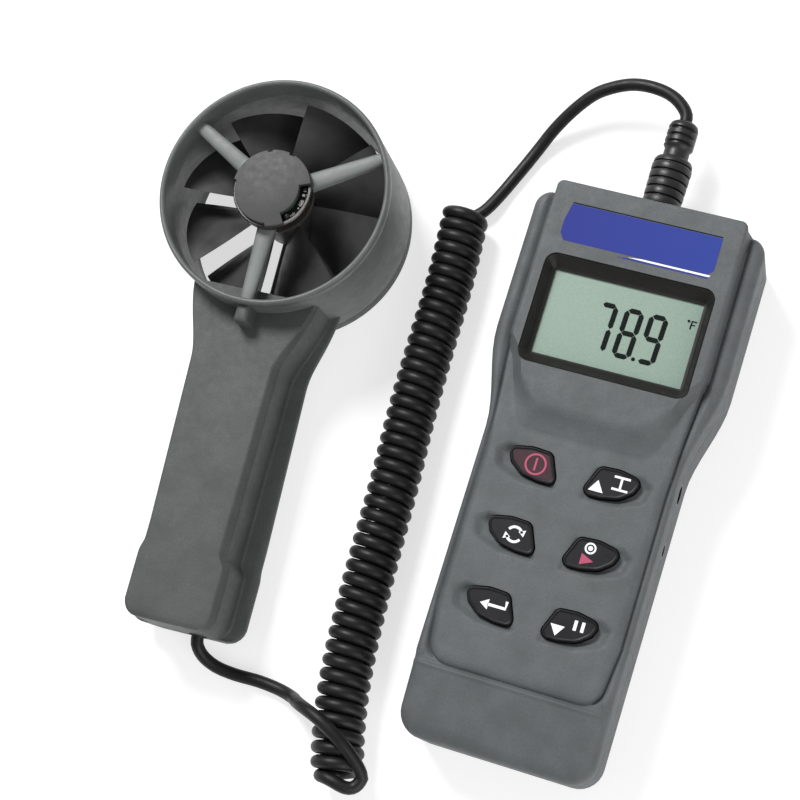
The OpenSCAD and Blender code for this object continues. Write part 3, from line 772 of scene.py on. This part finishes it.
def make_front_case():
    lines = [rounded(CASE_CORNERS, d) for d in (0, 0.1, 0.4, 0.9, 1.6, 2.4, 3.3, 4.6)]
    lines += [rounded(PANEL_CORNERS, d)
              for d in (-2.4, -1.3, -0.9, -0.5, -0.2, 0, 0.08, 0.3, 0.6, 0.95, 1.7, 2.6)]
    lines += [rounded(TONGUE_CORNERS, d) for d in (0, 0.6, 3, 6, 9.4, 10)]
    lines += [straight(STEP_Y + d) for d in (-1.2, -0.5, 0, 0.6, 1.3)]
    wells = [(rounded(RECESS_CORNERS), WINDOW_Z - 2)]
    for _, side, row in key_places():
        for inset in (0, 0.3, 0.9, 1.6, 2.4, 3.2):
            lines.append(at_key(rounded(SCOOP_CORNERS, inset), side, row))
        wells.append((at_key(rounded(KEY_CORNERS, -0.3), side, row), KEY_WELL_Z))
    shape = relief(case_within, lines, front_height, PARTING_Z + PARTING_GAP, wells)
    shown = piece("front_case_shell", *shape, "meter", "case_plastic", replaces=["front_case"])
    cut(shown, port_cutters())


# Insets of the mesh lines along the back's rounded edge
BACK_RINGS = (0, 0.08, 0.35, 0.8, 1.4, 2.5)


def back_height(points):
    """Height counted downwards from the floor, for a solid lying on its back."""
    return -fillet(case_within(points), BACK_ROLL)


def door_outline(gap):
    half = DOOR_HALF - gap
    return np.array([(-half, CASE_BOTTOM - 3), (half, CASE_BOTTOM - 3),
                     (half, DOOR_TOP_Y - gap), (-half, DOOR_TOP_Y - gap)])


def make_rear_case():
    lines = [rounded(CASE_CORNERS, d) for d in BACK_RINGS]
    lines += [rounded(BLOCK_CORNERS, d) for d in BACK_RINGS[:4]]
    opening = door_outline(-DOOR_GAP)
    upper = relief(lambda p: np.minimum(case_within(p), -inside_distance(p, opening)),
                   [*lines, opening], back_height, -DOOR_T - 0.3, flip=True)
    bay = rounded(box_corners(16, -86.5, -35.5, 2))
    base = -PARTING_Z + PARTING_GAP
    lower = relief(case_within, [rounded(CASE_CORNERS), rounded(BLOCK_CORNERS)],
                   lambda p: np.full(len(p), -DOOR_T - 0.25), base, wells=[(bay, base - 0.01)],
                   flip=True, step=3)
    shown = piece("rear_case_shell", *joined(upper, lower), "meter", "case_plastic",
                  replaces=["rear_case"])
    screw_wells = [shifted(lathe([(3.0, -1), (3.0, 8.4)], 32), *at) for at in SCREW_PLACES]
    cut(shown, port_cutters() + screw_wells, overlapping=True)


def make_door():
    outline = door_outline(DOOR_GAP / 2)
    grip_rows = [rounded(box_corners(GRIP_HALF_X, low, high, 0.5)) for low, high in GRIP_ROWS]

    def height(points):
        top = back_height(points)
        top = np.minimum(top, -fillet(inside_distance(points, outline), 0.5))
        for row in grip_rows:
            top = top - 0.6 * smooth(inside_distance(points, row) / 0.4)
        return top

    lines = [outline, *[rounded(CASE_CORNERS, d) for d in BACK_RINGS]]
    for d in (0.15, 0.5):
        lines.append(outline + np.array([(d, 0), (-d, 0), (-d, -d), (d, -d)]))
    lines += [rounded(box_corners(GRIP_HALF_X - d, low + d, high - d, 0.4))
              for low, high in GRIP_ROWS for d in (0, 0.4)]
    shape = relief(lambda p: np.minimum(case_within(p), inside_distance(p, outline)),
                   lines, height, -DOOR_T, flip=True)
    piece("battery_door_cover", *shape, "battery_cover", "case_plastic", replaces=["battery_door"])


# ---- display

def make_display():
    view_y = VIEW_Y + 0.1
    inner = box_corners(VIEW_HALF[0], view_y - VIEW_HALF[1], view_y + VIEW_HALF[1], 0.5)
    rings = [(rounded(RECESS_CORNERS, inset), z) for inset, z in (
        (0.05, BEZEL_LOW), (0.05, 33.0), (0.12, 33.35), (0.4, 33.45), (0.7, 33.2))]
    rings += [(rounded(inner, inset), z) for inset, z in (
        (-1.0, WINDOW_Z + 0.5), (-0.4, WINDOW_Z + 0.2), (0, WINDOW_Z + 0.1), (0, BEZEL_LOW))]
    points, faces = loft([[(x, y, z) for x, y in outline] for outline, z in rings], caps=False)
    count = len(rings[0][0])
    last = (len(rings) - 1) * count
    faces += [(last + k, last + (k + 1) % count, (k + 1) % count, k) for k in range(count)]
    piece("display_frame", points, faces, "meter", "bezel_plastic", replaces=["display_bezel"])
    pane = rounded(inner, -1.2)
    piece("display_pane", *prism(pane, WINDOW_Z - 0.2, WINDOW_Z), "meter", "window_glass",
          replaces=["display_window"])
    panel = rounded(inner, -1.5)
    piece("display_panel", *prism(panel, 27.3, LCD_Z - SEGMENT_T), "meter", "lcd_panel",
          replaces=["lcd_glass"])
    piece("display_digits", *digits(view_y), "meter", "lcd_ink", replaces=["lcd_segments"])


def bar(a, b, half):
    """A segment from a to b with pointed ends, as an outline."""
    a, b = np.array(a, float), np.array(b, float)
    way = (b - a) / np.linalg.norm(b - a)
    side = np.array((-way[1], way[0])) * half
    return np.array([a, a + way * half - side, b - way * half - side, b, b - way * half + side,
                     a + way * half + side])


def digits(view_y):
    """The lit segments of 78.9 and a degree F."""
    width, height = DIGIT_HALF
    names = {"7": "abc", "8": "abcdefg", "9": "abcdfg"}
    lines = {
        "a": ((-width, height), (width, height)), "g": ((-width, 0), (width, 0)),
        "d": ((-width, -height), (width, -height)), "b": ((width, 0), (width, height)),
        "c": ((width, -height), (width, 0)), "f": ((-width, 0), (-width, height)),
        "e": ((-width, -height), (-width, 0)),
    }
    parts = []

    def add(outline, at_x):
        leaned = np.array([(x + DIGIT_LEAN * y + at_x, y + view_y - 0.75) for x, y in outline])
        parts.append(prism(leaned, LCD_Z - SEGMENT_T, LCD_Z))

    for at_x, digit in ((-4.6, "7"), (3.6, "8"), (11.3, "9")):
        for name in names[digit]:
            a, b = np.array(lines[name][0], float), np.array(lines[name][1], float)
            short = (b - a) / np.linalg.norm(b - a) * 0.14
            add(bar(a + short, b - short, DIGIT_STROKE), at_x)
    add(ring_outline(0.62, 16) + (0, -height), 7.6)
    for left, low, right, high in ((0, 0, 0.42, 2.7), (0.42, 2.3, 1.7, 2.7),
                                   (0.42, 1.2, 1.4, 1.55)):
        letter = np.array([(left, low), (right, low), (right, high), (left, high)])
        add(letter + (0, 6.2), UNIT_X)
    add(ring_outline(0.42, 12) + (-0.8, 8.6), UNIT_X)
    return joined(*parts)


def make_name_band():
    low, top = DEPTH - 0.5, DEPTH + 0.05
    band = rounded([(-24.9, 72, 0.1), (-23.4, 69.7, 0.6), (22.6, 69.7, 1.4), (24.2, 71.2, 0.8),
                    (24.2, 81.9, 0.3), (-23.8, 81.9, 0.2), (-24.9, 76.5, 0.1)])
    piece("name_band", *prism(band, low, top), "meter", "name_band", replaces=["name_plate"])
    edge = rounded([(-23.7, 82.05, 0.05), (24.1, 82.05, 0.05),
                    (24.1, 82.4, 0.05), (-23.7, 82.4, 0.05)])
    piece("band_top_line", *prism(edge, low, top), "meter", "lcd_ink")
    light = np.array([(-2.5, 69.05), (4, 68.95), (23.2, 68.95), (23.6, 69.55), (2, 69.5)])
    piece("band_underline", *prism(light, low, top), "meter", "name_band", "white_print")
    thin = np.array([(-6, 68.35), (22.9, 68.35), (23.2, 68.8), (-2, 68.85)])
    piece("band_foot_line", *prism(thin, low, top), "meter", "name_band")


# ---- keys

def ring_outline(radius, steps=32):
    return np.array([(radius * math.cos(a), radius * math.sin(a))
                     for a in np.linspace(0, 2 * math.pi, steps, False)])


def stroke(points, width):
    """A flat line of one width through points, as an outline."""
    points = [np.array(p, float) for p in points]
    left, right = [], []
    for i, p in enumerate(points):
        a, b = points[max(i - 1, 0)], points[min(i + 1, len(points) - 1)]
        way = (b - a) / np.linalg.norm(b - a)
        side = np.array((-way[1], way[0])) * width / 2
        left.append(p + side)
        right.append(p - side)
    return np.array(right + left[::-1])


def arc_points(radius, start, end, centre=(0, 0), steps=18):
    return [(centre[0] + radius * math.cos(math.radians(a)),
             centre[1] + radius * math.sin(math.radians(a)))
            for a in np.linspace(start, end, steps)]


def arrow_head(tip, degrees, size):
    c, s = math.cos(math.radians(degrees)), math.sin(math.radians(degrees))
    shape = [(0, 0), (-size, size * 0.62), (-size, -size * 0.62)]
    return np.array([(tip[0] + x * c - y * s, tip[1] + x * s + y * c) for x, y in shape])


# Symbols on the keys, as outlines about the middle of the key's face
SYMBOLS = {
    "power": {"red_print": [
        stroke(arc_points(3.1, 0, 360, steps=40), 0.62), stroke([(0, -2), (0, 2)], 0.62),
    ]},
    "mode": {"white_print": [
        stroke(arc_points(2.3, 20, 150), 0.8), stroke(arc_points(2.3, 200, 330), 0.8),
        arrow_head((2.8, -0.2), -68, 1.9), arrow_head((-2.8, 0.2), 112, 1.9),
    ]},
    "enter": {"white_print": [
        stroke([(4.0, 2.2), (4.0, -0.1), (-1.6, -0.1)], 0.9), arrow_head((-4.0, -0.1), 180, 2.6),
    ]},
    "max_min": {"white_print": [
        np.array([(-5.7, -3.2), (-1.1, -3.2), (-3.4, 0.4)]),
        stroke([(1.0, 2.8), (6.0, 2.8)], 0.7), stroke([(1.0, -1.0), (6.0, -1.0)], 0.7),
        stroke([(3.5, -0.6), (3.5, 2.4)], 0.7),
    ]},
    "record": {
        "white_print": [stroke(arc_points(1.5, 0, 360, (0.2, 2.1), 30), 0.55),
                        ring_outline(0.75, 20) + (0.2, 2.1)],
        "red_print": [np.array([(-1.9, -3.4), (2.1, -1.65), (-1.9, 0.1)])],
    },
    "hold": {"white_print": [
        np.array([(-4.9, -0.2), (-2.7, -3.5), (-0.5, -0.2)]),
        stroke([(2.4, -0.5), (2.4, 2.6)], 1.0), stroke([(4.7, -0.5), (4.7, 2.6)], 1.0),
    ]},
}


def make_keys():
    for name, side, row in key_places():
        rings = []
        for inset, drop in ((0, KEY_TOP - KEYPAD_Z + KEY_SIDE), (0, 0.45), (0.1, 0.15), (0.3, 0),
                            (0.5, 0), (0.65, 0.03), (0.8, 0.1), (1.1, 0.1)):
            outline = at_key(rounded(KEY_CORNERS, inset), side, row)
            rings.append([(x, y, KEY_TOP - drop) for x, y in outline])
        points, faces = loft(rings)
        body = name + "_key"
        made = piece(body + "_cap", points, faces, body, "key_rubber",
                     replaces=["key_" + name], sharp_deg=60)
        face = "key_power_face" if name == "power" else "key_face"
        made.data.materials.append(MATERIALS[face])
        for polygon in made.data.polygons:
            if len(polygon.vertices) > 8 and polygon.center.z > KEYPAD_Z * MM:
                polygon.material_index = 1
        middle = np.array((side * KEY_X, KEY_FIRST_Y - row * KEY_ROW)) + (0.2 * side, 1.0)
        for ink, outlines in SYMBOLS[name].items():
            parts = []
            for outline in outlines:
                placed = np.array(outline) + middle
                area = sum(a[0] * b[1] - a[1] * b[0]
                           for a, b in zip(placed, np.roll(placed, -1, axis=0)))
                parts.append(prism(placed[::-1] if area < 0 else placed, *MARK_Z))
            mark = body + ("_mark" if ink == "white_print" else "_red_mark")
            piece(mark, *joined(*parts), body, "key_rubber", ink)


# ---- vane probe

def handle_station(v):
    """Half widths of the handle's right and left sides at v: slab, wall and plateau."""
    foot = float(smooth((FOOT_V - v) / 5))
    flare = float(smooth((v - NECK_V) / 28))
    down = float(np.clip((-50 - v) / 60, 0, 1))
    right = (19.2 + 1.7 * down + 0.5 * foot + 5.0 * flare,
             14.2 - 0.2 * down + 2.2 * foot + 7.2 * flare,
             12.3 - 0.3 * down + 2.4 * foot + 8.5 * flare)
    left = (17.9 - 0.6 * down + 0.9 * foot + 6.3 * flare,
            15.5 - 2.2 * down + 1.0 * foot + 6.0 * flare,
            15.0 - 2.1 * down + 1.0 * foot + 6.0 * flare)
    return right, left


def handle_section(widths, inset, low, top_drop):
    """One side of a section, (u, z) from the bottom centre to the top centre."""
    top = PLATEAU_Z - top_drop
    slab, wall, plateau = (w - inset for w in widths)
    return [(0, low), (slab - 2.6, low), (slab - 1.9, low + 0.2), (slab - 0.1, 10.2),
            (slab - 0.12, 11.0), (slab - 0.35, 11.6), (slab - 0.9, 11.95),
            (wall + 1.0, 12.1), (wall + 0.45, 12.35),
            (wall + 0.12, 12.9), (wall + 0.03, 13.8), (wall, 20), (wall - 0.03, top - 2.9),
            (wall - 0.12, top - 2.4), (wall - 0.35, top - 2.05), (plateau + 0.25, top - 0.42),
            (plateau, top - 0.16), (plateau - 0.3, top - 0.03), (plateau - 0.7, top), (0, top)]


def make_probe_front():
    stations = [(HANDLE_END + at, inset, drop) for at, inset, drop in (
        (0.05, 4.4, 1.0), (0.3, 3.3, 0.45), (0.9, 2.2, 0.15),
        (1.9, 1.2, 0.03), (3.3, 0.4, 0), (4.8, 0, 0))]
    stations += [(v, 0, 0) for v in (-132, -126, -121.5, -120.5, -119.5, -118.5, -117.5, -116.5,
                                     -115.5, -114, -110, -104, -96, -88, -80, -72, -66, -60,
                                     NECK_V)]
    rings = []
    low = PROBE_PARTING + PARTING_GAP
    for v, inset, drop in stations:
        sides = [handle_section(widths, inset, low, drop) for widths in handle_station(v)]
        rings.append(section_ring(*sides, lambda u, v=v: v))
    for t in np.linspace(0.08, 1, 12):
        sides = [handle_section(widths, 0, low, 0)
                 for widths in handle_station(NECK_V + t * NECK_LENGTH)]
        rings.append(section_ring(*sides, lambda u, t=t: neck(u, t)))
    handle = loft(rings)
    ring = lathe([
        (BORE_R + 0.4, low), (37.6, low), (37.9, low + 0.3), (37.9, 35.6), (37.75, 36.0),
        (37.75, 36.3), (DUCT_R, 36.7), (DUCT_R, 38.9), (37.8, 39.6), (37.3, DUCT_TOP),
        (36.9, DUCT_TOP), (36.4, 39.7), (36.15, 39.1), (BORE_R, 38.2), (BORE_R, 31),
        (36.1, 30.4), (BORE_R + 0.4, 29.8),
    ], DUCT_STEPS, closed=True)
    gland_hole = moved(lathe([(3.15, -2), (3.15, 5)], 40), along_gland)
    shown = on_probe("probe_front", handle, "probe_plastic", replaces=["probe_front_shell"],
                     sharp_deg=40)
    cut(shown, [moved(gland_hole, at_probe)])
    # The ring takes the lighter copy of the probe plastic, which paints light onto its outer wall
    on_probe("duct_ring", ring, "probe_plastic", "duct_plastic",
             replaces=["probe_front_shell"], sharp_deg=40)


def neck(u, t):
    """v of the handle's neck, from a straight section at t 0 to the duct's curve at t 1."""
    duct_v = -math.sqrt(NECK_R ** 2 - min(abs(u), NECK_HALF) ** 2)
    return NECK_V + t * (duct_v - NECK_V)


def section_ring(right, left, v_at):
    """A closed ring of a handle section, from its right and left halves."""
    left = [(-u, z) for u, z in reversed(left[1:-1])]
    return [(u, v_at(u), z) for u, z in right + left][::-1]


def make_probe_rear():
    high = PROBE_PARTING - PARTING_GAP
    rings = []
    stations = [(HANDLE_END + at, inset) for at, inset in (
        (0.1, 4.2), (0.4, 3.2), (1.0, 2.2), (2.0, 1.2), (3.4, 0.4), (4.9, 0))]
    stations += [(v, 0) for v in (-126, -120.5, -119, -117.5, -116, -114, -100, -80, NECK_V)]

    def side(slab):
        return [(0, 0), (slab - 5.4, 0), (slab - 4.6, 0.25), (slab - 3.9, 1.1),
                (slab - 2.3, high), (0, high)]

    for v, inset in stations:
        sides = [side(widths[0] - inset) for widths in handle_station(v)]
        rings.append(section_ring(*sides, lambda u, v=v: v))
    for t in np.linspace(0.1, 1, 8):
        sides = [side(widths[0]) for widths in handle_station(NECK_V + t * NECK_LENGTH)]
        rings.append(section_ring(*sides, lambda u, t=t: neck(u, t)))
    ring = lathe([
        (36.9, 0), (37.3, 0.1), (37.6, 0.5), (37.75, 1.2), (37.75, high - 0.2), (37.6, high),
        (36.6, high), (36.55, 0.3),
    ], DUCT_STEPS, closed=True)
    shown = on_probe("probe_rear", joined(loft(rings), ring), "probe_plastic",
                     replaces=["probe_rear_shell"], sharp_deg=40)
    wells = [moved(shifted(lathe([(2.7, -1), (2.7, 2.6)], 32), *at), at_probe)
             for at in PROBE_SCREWS]
    cut(shown, wells)


def arm(reach, width_in, width_out, low, top_in, top_out):
    """One bevelled spoke along +u from the hub."""
    rings = []
    for r, share in ((6, 0), (12, 0.15), (20, 0.45), (28, 0.72), (reach - 1, 0.97), (reach, 1)):
        half = (width_in + (width_out - width_in) * share) / 2
        top = top_in + (top_out - top_in) * share
        rings.append([(r, -half, low), (r, half, low), (r, half, top - 0.9),
                      (r, half - 0.35, top - 0.35), (r, half - 1.0, top), (r, -half + 1.0, top),
                      (r, -half + 0.35, top - 0.35), (r, -half, top - 0.9)])
    return loft([ring[::-1] for ring in rings])


def make_spiders():
    arms = [turned(arm(ARM_REACH, 6.0, 4.2, ARM_Z, ARM_TOP, ARM_TOP - 0.6), a) for a in ARM_ANGLES]
    collar = lathe([(8.0, ARM_Z), (10.3, ARM_Z), (10.3, ARM_TOP), (8.0, ARM_TOP)], 48,
                   closed=True)
    on_probe("front_spokes", joined(*arms, collar), "spider_plastic",
             replaces=["front_spider"], sharp_deg=30)
    corners = [(-2.4, -43.6, 1.1), (2.4, -43.6, 1.1), (2.4, -37.2, 0.3), (-2.4, -37.2, 0.3)]
    peg = []
    for z, inset in ((29.5, 0), (34.8, 0), (36.2, 0.15), (37.0, 0.6), (37.35, 1.3)):
        peg.append([(x, y, z) for x, y in rounded(corners, inset)])
    on_probe("spoke_peg", loft(peg), "probe_plastic")
    rear = [turned(arm(ARM_REACH, 5.2, 4.6, 6.5, 9.5, 9.5), a) for a in ARM_ANGLES]
    boss = lathe([(2.0, 6.8), (2.0, 9.5), (6.4, 9.5), (7.0, 9.0), (7.0, 6.9), (6.6, 6.5),
                  (2.6, 6.5)], 48, closed=True)
    on_probe("rear_spokes", joined(*rear, boss), "spider_plastic",
             replaces=["rear_spider"], sharp_deg=30)


def make_hub():
    slot_from, slot_to = (math.radians(a) for a in SLOT_DEG)

    def edge(a):
        a = math.atan2(math.sin(a), math.cos(a))
        if slot_from < a < slot_to:
            return HUB_R - 3.7
        if 3.09 < a or a < -1.48:
            return HUB_R - 0.9
        if 1.80 < a < 1.93 or 1.2 < a < 1.34:
            return HUB_R - 0.6
        return HUB_R

    angles = np.linspace(0, 2 * math.pi, 360, False)
    rings = []
    for inset, z in ((0, 40.9), (0, HUB_TOP - 0.35), (0.12, HUB_TOP - 0.1), (0.4, HUB_TOP)):
        rings.append([((edge(a) - inset) * math.cos(a), (edge(a) - inset) * math.sin(a), z)
                      for a in angles])
    on_probe("hub_lid", loft(rings), "cap_plastic", replaces=["hub_cap"], sharp_deg=40)
    cup = lathe([
        (2.4, 33.5), (11.3, 33.5), (11.6, 33.8), (11.6, 34.2), (11.6, 35.9), (12.2, 36.3),
        (12.4, 36.9), (12.5, 37.9), (HUB_R, 38.4), (HUB_R, 40.5), (12.6, 40.85), (11.9, 40.85),
        (11.7, 40.5), (11.7, HUB_FLOOR_Z), (2.4, HUB_FLOOR_Z),
    ], closed=True)
    on_probe("hub_cup", cup, "hub_black", replaces=["sensor_housing"], sharp_deg=40)
    skirt = lathe([(2.4, 29.0), (9.6, 29.0), (10.6, 29.4), (10.9, 30.1), (10.9, 31.6),
                   (11.7, 31.9), (11.9, 32.4), (11.9, 33.4), (2.4, 33.4)], closed=True)
    on_probe("hub_skirt", skirt, "hub_black", "skirt_plastic", sharp_deg=40)
    parts = []
    for a, r, deep, wide, high in HUB_BLOCKS:
        corners = [(r - deep / 2, -wide / 2, 0.2), (r + deep / 2, -wide / 2, 0.2),
                   (r + deep / 2, wide / 2, 0.2), (r - deep / 2, wide / 2, 0.2)]
        block = rounded(corners, arc=2)
        parts.append(turned(prism(block, HUB_BLOCK_Z, HUB_BLOCK_Z + high, 0.15), a))
    on_probe("hub_parts", joined(*parts), "hub_black")
    solder = [lathe([(0.55, HUB_FLOOR_Z), (0.5, 39.5), (0.3, 39.9), (0.05, 40.0)], 16,
                    lambda p, a=a: (10.7 * math.cos(a) + p[0], 10.7 * math.sin(a) + p[1], p[2]))
              for a in (math.radians(-43), math.radians(-24))]
    on_probe("solder_joints", joined(*solder), "steel")


def make_impeller():
    blades = []
    across = np.linspace(-1, 1, 11)
    for i in range(BLADES):
        phase = math.radians(BLADE_PHASE + 360 / BLADES * i)

        def point(r, s, side, phase=phase):
            share = (r - WHEEL_HUB_R) / (BLADE_R - WHEEL_HUB_R)
            reach = 0.44 - 0.05 * share
            rise = 8.2 - 0.8 * share
            camber = 1.1 * (1 - s * s)
            thick = 0.55 * math.sqrt(max(1 - s * s, 0.02)) * side
            a = phase + s * reach + 0.05 * camber / max(r, 1)
            return (r * math.cos(a), r * math.sin(a), WHEEL_Z + s * rise + camber + thick)

        rings = []
        for r in np.linspace(WHEEL_HUB_R - 1.5, BLADE_R, 10):
            upper = [point(r, s, 1) for s in across]
            lower = [point(r, s, -1) for s in across[::-1]]
            rings.append(upper + lower)
        blades.append(loft(rings))
    hub = lathe([
        (0.9, 11.6), (8.2, 11.6), (9.2, 12.2), (WHEEL_HUB_R, 13.2), (WHEEL_HUB_R, 26.8),
        (9.3, 27.9), (8.5, 28.5), (6.4, 28.5), (6.0, 27.6), (4.2, 27.6), (4.2, 26.2), (0.9, 26.2),
    ], 64, closed=True)
    on_probe("vane_wheel", joined(*blades, hub), "impeller_plastic", body="wheel",
             replaces=["impeller"], sharp_deg=50)


# ---- plug and gland

def make_plug():
    profile = [(4.0, 0.0), (6.1, 0.0)]
    pitch = BARREL_LENGTH / BARREL_RIBS
    for i in range(BARREL_RIBS):
        y = i * pitch
        swell = 6.15 + 0.3 * i / (BARREL_RIBS - 1)
        profile += [(swell - 0.05, y + 0.15), (swell + 0.05, y + 0.7),
                    (swell + 0.05, y + pitch - 0.75), (swell - 0.15, y + pitch - 0.45),
                    (swell - 0.75, y + pitch - 0.35), (swell - 0.75, y + pitch - 0.08)]
    profile += [(6.3, 17.3), (6.2, 18.2), (5.7, 19.0), (4.9, 19.4), (4.0, 19.5)]
    barrel = moved(lathe(profile, 72), lambda p: (p[0], PLUG_Y + p[2], PLUG_Z - p[1]))
    piece("plug_grip", *barrel, "probe", "plug_plastic", replaces=["plug_barrel"], sharp_deg=40)

    def boot_point(y, a):
        base = np.interp(y, [19.3, 19.6, 22.6, 23.6, 30.2, 31.4, 32.1, 32.5],
                         [4.3, 4.15, 4.1, 4.8, 4.8, 4.35, 3.4, 1.9])
        slot = max(smooth(1 - abs(y - at) / BOOT_SLOT_HALF) for at in BOOT_SLOTS)
        reach = float(smooth(math.cos(a - math.radians(BOOT_SLOT_DEG)) * 2.2 + 0.6))
        r = float(base) - 0.95 * float(slot) * reach
        return (r * math.cos(a), PLUG_Y + y, PLUG_Z + r * math.sin(a))

    rows = [19.3, 19.6, 20.5, 21.6, 22.6, 23.1, 23.6]
    for at in BOOT_SLOTS:
        rows += [at + d for d in (-BOOT_SLOT_HALF, -0.4, -0.15, 0.15, 0.4, BOOT_SLOT_HALF)]
    rows += [30.2, 30.8, 31.4, 31.8, 32.1, 32.5]
    around = np.linspace(2 * math.pi, 0, 56, False)
    piece("plug_boot_sleeve", *skin(rows, around, boot_point), "probe", "plug_plastic",
          replaces=["plug_boot"], sharp_deg=50)
    gland = lathe([(1.95, 3.2), (3.05, 3.2), (3.05, 0), (2.9, -0.35), (1.95, -0.4)], 40,
                  closed=True)
    on_probe("cord_grommet", moved(gland, along_gland), "black_rubber", replaces=["cord_gland"])


# ---- camera and light

def make_camera():
    data = bpy.data.cameras.new("camera")
    data.lens = CAMERA_LENS
    data.sensor_width = SENSOR_WIDTH
    data.clip_start = NEAR_CLIP
    camera = bpy.data.objects.new("camera", data)
    bpy.context.scene.collection.objects.link(camera)
    back = -CAMERA_LOOKS.normalized()
    right = CAMERA_UP.cross(back).normalized()
    up = back.cross(right)
    turn = Matrix((right, up, back)).transposed().to_4x4()
    camera.matrix_world = Matrix.Translation(CAMERA_AT) @ turn
    bpy.context.scene.camera = camera


def make_lamp(name, at, aim, size, watts):
    data = bpy.data.lights.new(name, "AREA")
    data.shape = "DISK"
    data.size = size
    data.energy = watts
    lamp = bpy.data.objects.new(name, data)
    lamp.location = at
    lamp.rotation_mode = "QUATERNION"
    lamp.rotation_quaternion = (Vector(aim) - Vector(at)).to_track_quat("-Z", "Y")
    bpy.context.scene.collection.objects.link(lamp)


def make_stage():
    floor_mesh = bpy.data.meshes.new("floor")
    corners = [(FLOOR_HALF * x, FLOOR_HALF * y, 0)
               for x, y in ((-1, -1), (1, -1), (1, 1), (-1, 1))]
    floor_mesh.from_pydata([Vector(c) for c in corners], [], [(0, 1, 2, 3)])
    floor = bpy.data.objects.new("floor", floor_mesh)
    floor.location.z = -0.0001
    bpy.context.scene.collection.objects.link(floor)
    paint = moulded("floor_paint", (FLOOR_GREY,) * 3, 0.8, 1.0, 0.01, 0.005, 80, gloss=0.2)
    glow = paint.node_tree.nodes["Principled BSDF"]
    glow.inputs["Emission Color"].default_value = (1, 1, 1, 1)
    glow.inputs["Emission Strength"].default_value = FLOOR_GLOW
    floor_mesh.materials.append(paint)
    world = bpy.data.worlds.new("studio")
    world.use_nodes = True
    world.node_tree.nodes["Background"].inputs["Color"].default_value = (1, 1, 1, 1)
    world.node_tree.nodes["Background"].inputs["Strength"].default_value = WORLD_LIGHT
    bpy.context.scene.world = world
    bpy.context.scene.view_settings.view_transform = "Standard"
    make_lamp("key_light", (-0.62, 0.62, 1.0), STUDIO_MIDDLE, 0.45, 18)
    make_lamp("fill_light", (0.8, -0.6, 0.55), STUDIO_MIDDLE, 0.9, 7)


# ---- cord

def cord_route():
    """Whole cord from the probe's handle to the plug, the curly part as a helix."""
    centre = spline([(x, y, 0) for x, y in COIL_ROUTE], 1.0)
    lengths = arc_lengths(centre)
    first, last = CORD_D / 2, lengths[-1] - CORD_D / 2
    turns = COIL_TURNS + COIL_EXTRA_DEG / 360
    steps = int(turns * COIL_STEPS)
    helix = []
    for i in range(steps + 1):
        share = i / steps
        s = first + (last - first) * share * (1 + COIL_PITCH_CHANGE * (1 - share))
        behind, at, ahead = (np.array([np.interp(s + d, lengths, centre[:, k]) for k in range(3)])
                             for d in (-1, 0, 1))
        along = (ahead - behind) / np.linalg.norm(ahead - behind)
        side, up = np.cross(along, (0, 0, 1)), np.array((0, 0, 1))
        radius = COIL_R_FOOT + (COIL_R_HEAD - COIL_R_FOOT) * share
        a = math.radians(COIL_START_DEG) + 2 * math.pi * turns * share
        helix.append(at + up * (radius + CORD_D / 2)
                     + radius * (side * math.cos(a) + up * math.sin(a)))
    tail = spline([*TAIL_ROUTE, tuple(helix[0])], 1.2)
    lead = spline([tuple(helix[-1]), *LEAD_ROUTE], 1.2)
    route = np.concatenate([tail[:-1], helix, lead[1:]])
    route = eased(eased(route, len(tail)), len(tail) + len(helix) - 1)
    route[:, 2] = np.maximum(route[:, 2], CORD_D / 2)
    return route


def eased(route, middle, reach=10, rounds=12):
    """The route with its points near one of them drawn into a smooth bend."""
    route = route.copy()
    part = slice(middle - reach, middle + reach)
    for _ in range(rounds):
        route[part] = (route[middle - reach - 1:middle + reach - 1] + 2 * route[part]
                       + route[middle - reach + 1:middle + reach + 1]) / 4
    return route


def make_cord():
    route = cord_route()
    data = bpy.data.curves.new("curly_cord", "CURVE")
    data.dimensions = "3D"
    line = data.splines.new("POLY")
    line.points.add(len(route) - 1)
    for point, at in zip(line.points, route):
        point.co = (*(at * MM), 1)
    data.bevel_depth = CORD_D / 2 * MM
    data.bevel_resolution = 5
    data.use_fill_caps = True
    data.materials.append(MATERIALS["cord_jacket"])
    cord = bpy.data.objects.new("curly_cord", data)
    bpy.context.scene.collection.objects.link(cord)
    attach(cord, "probe")
    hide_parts("cord_tail", "cord_coil", "cord_lead")


# ---- CAD finishes

def finish_cad_nodes():
    """Every CAD node still shown takes the finish of its own material slot."""
    slots = {s["node"]: s["material_slot"] for s in frame["record"]["subparts"]}
    for name, node in frame["nodes"].items():
        node.data.materials.clear()
        finish = "black_plastic" if name.endswith("_jack") else slots[name]
        node.data.materials.append(MATERIALS[finish])


make_camera()
make_stage()
finish_cad_nodes()
make_front_case()
make_rear_case()
make_door()
make_display()
make_name_band()
make_keys()
make_probe_front()
make_probe_rear()
make_spiders()
make_hub()
make_impeller()
make_plug()
make_cord()
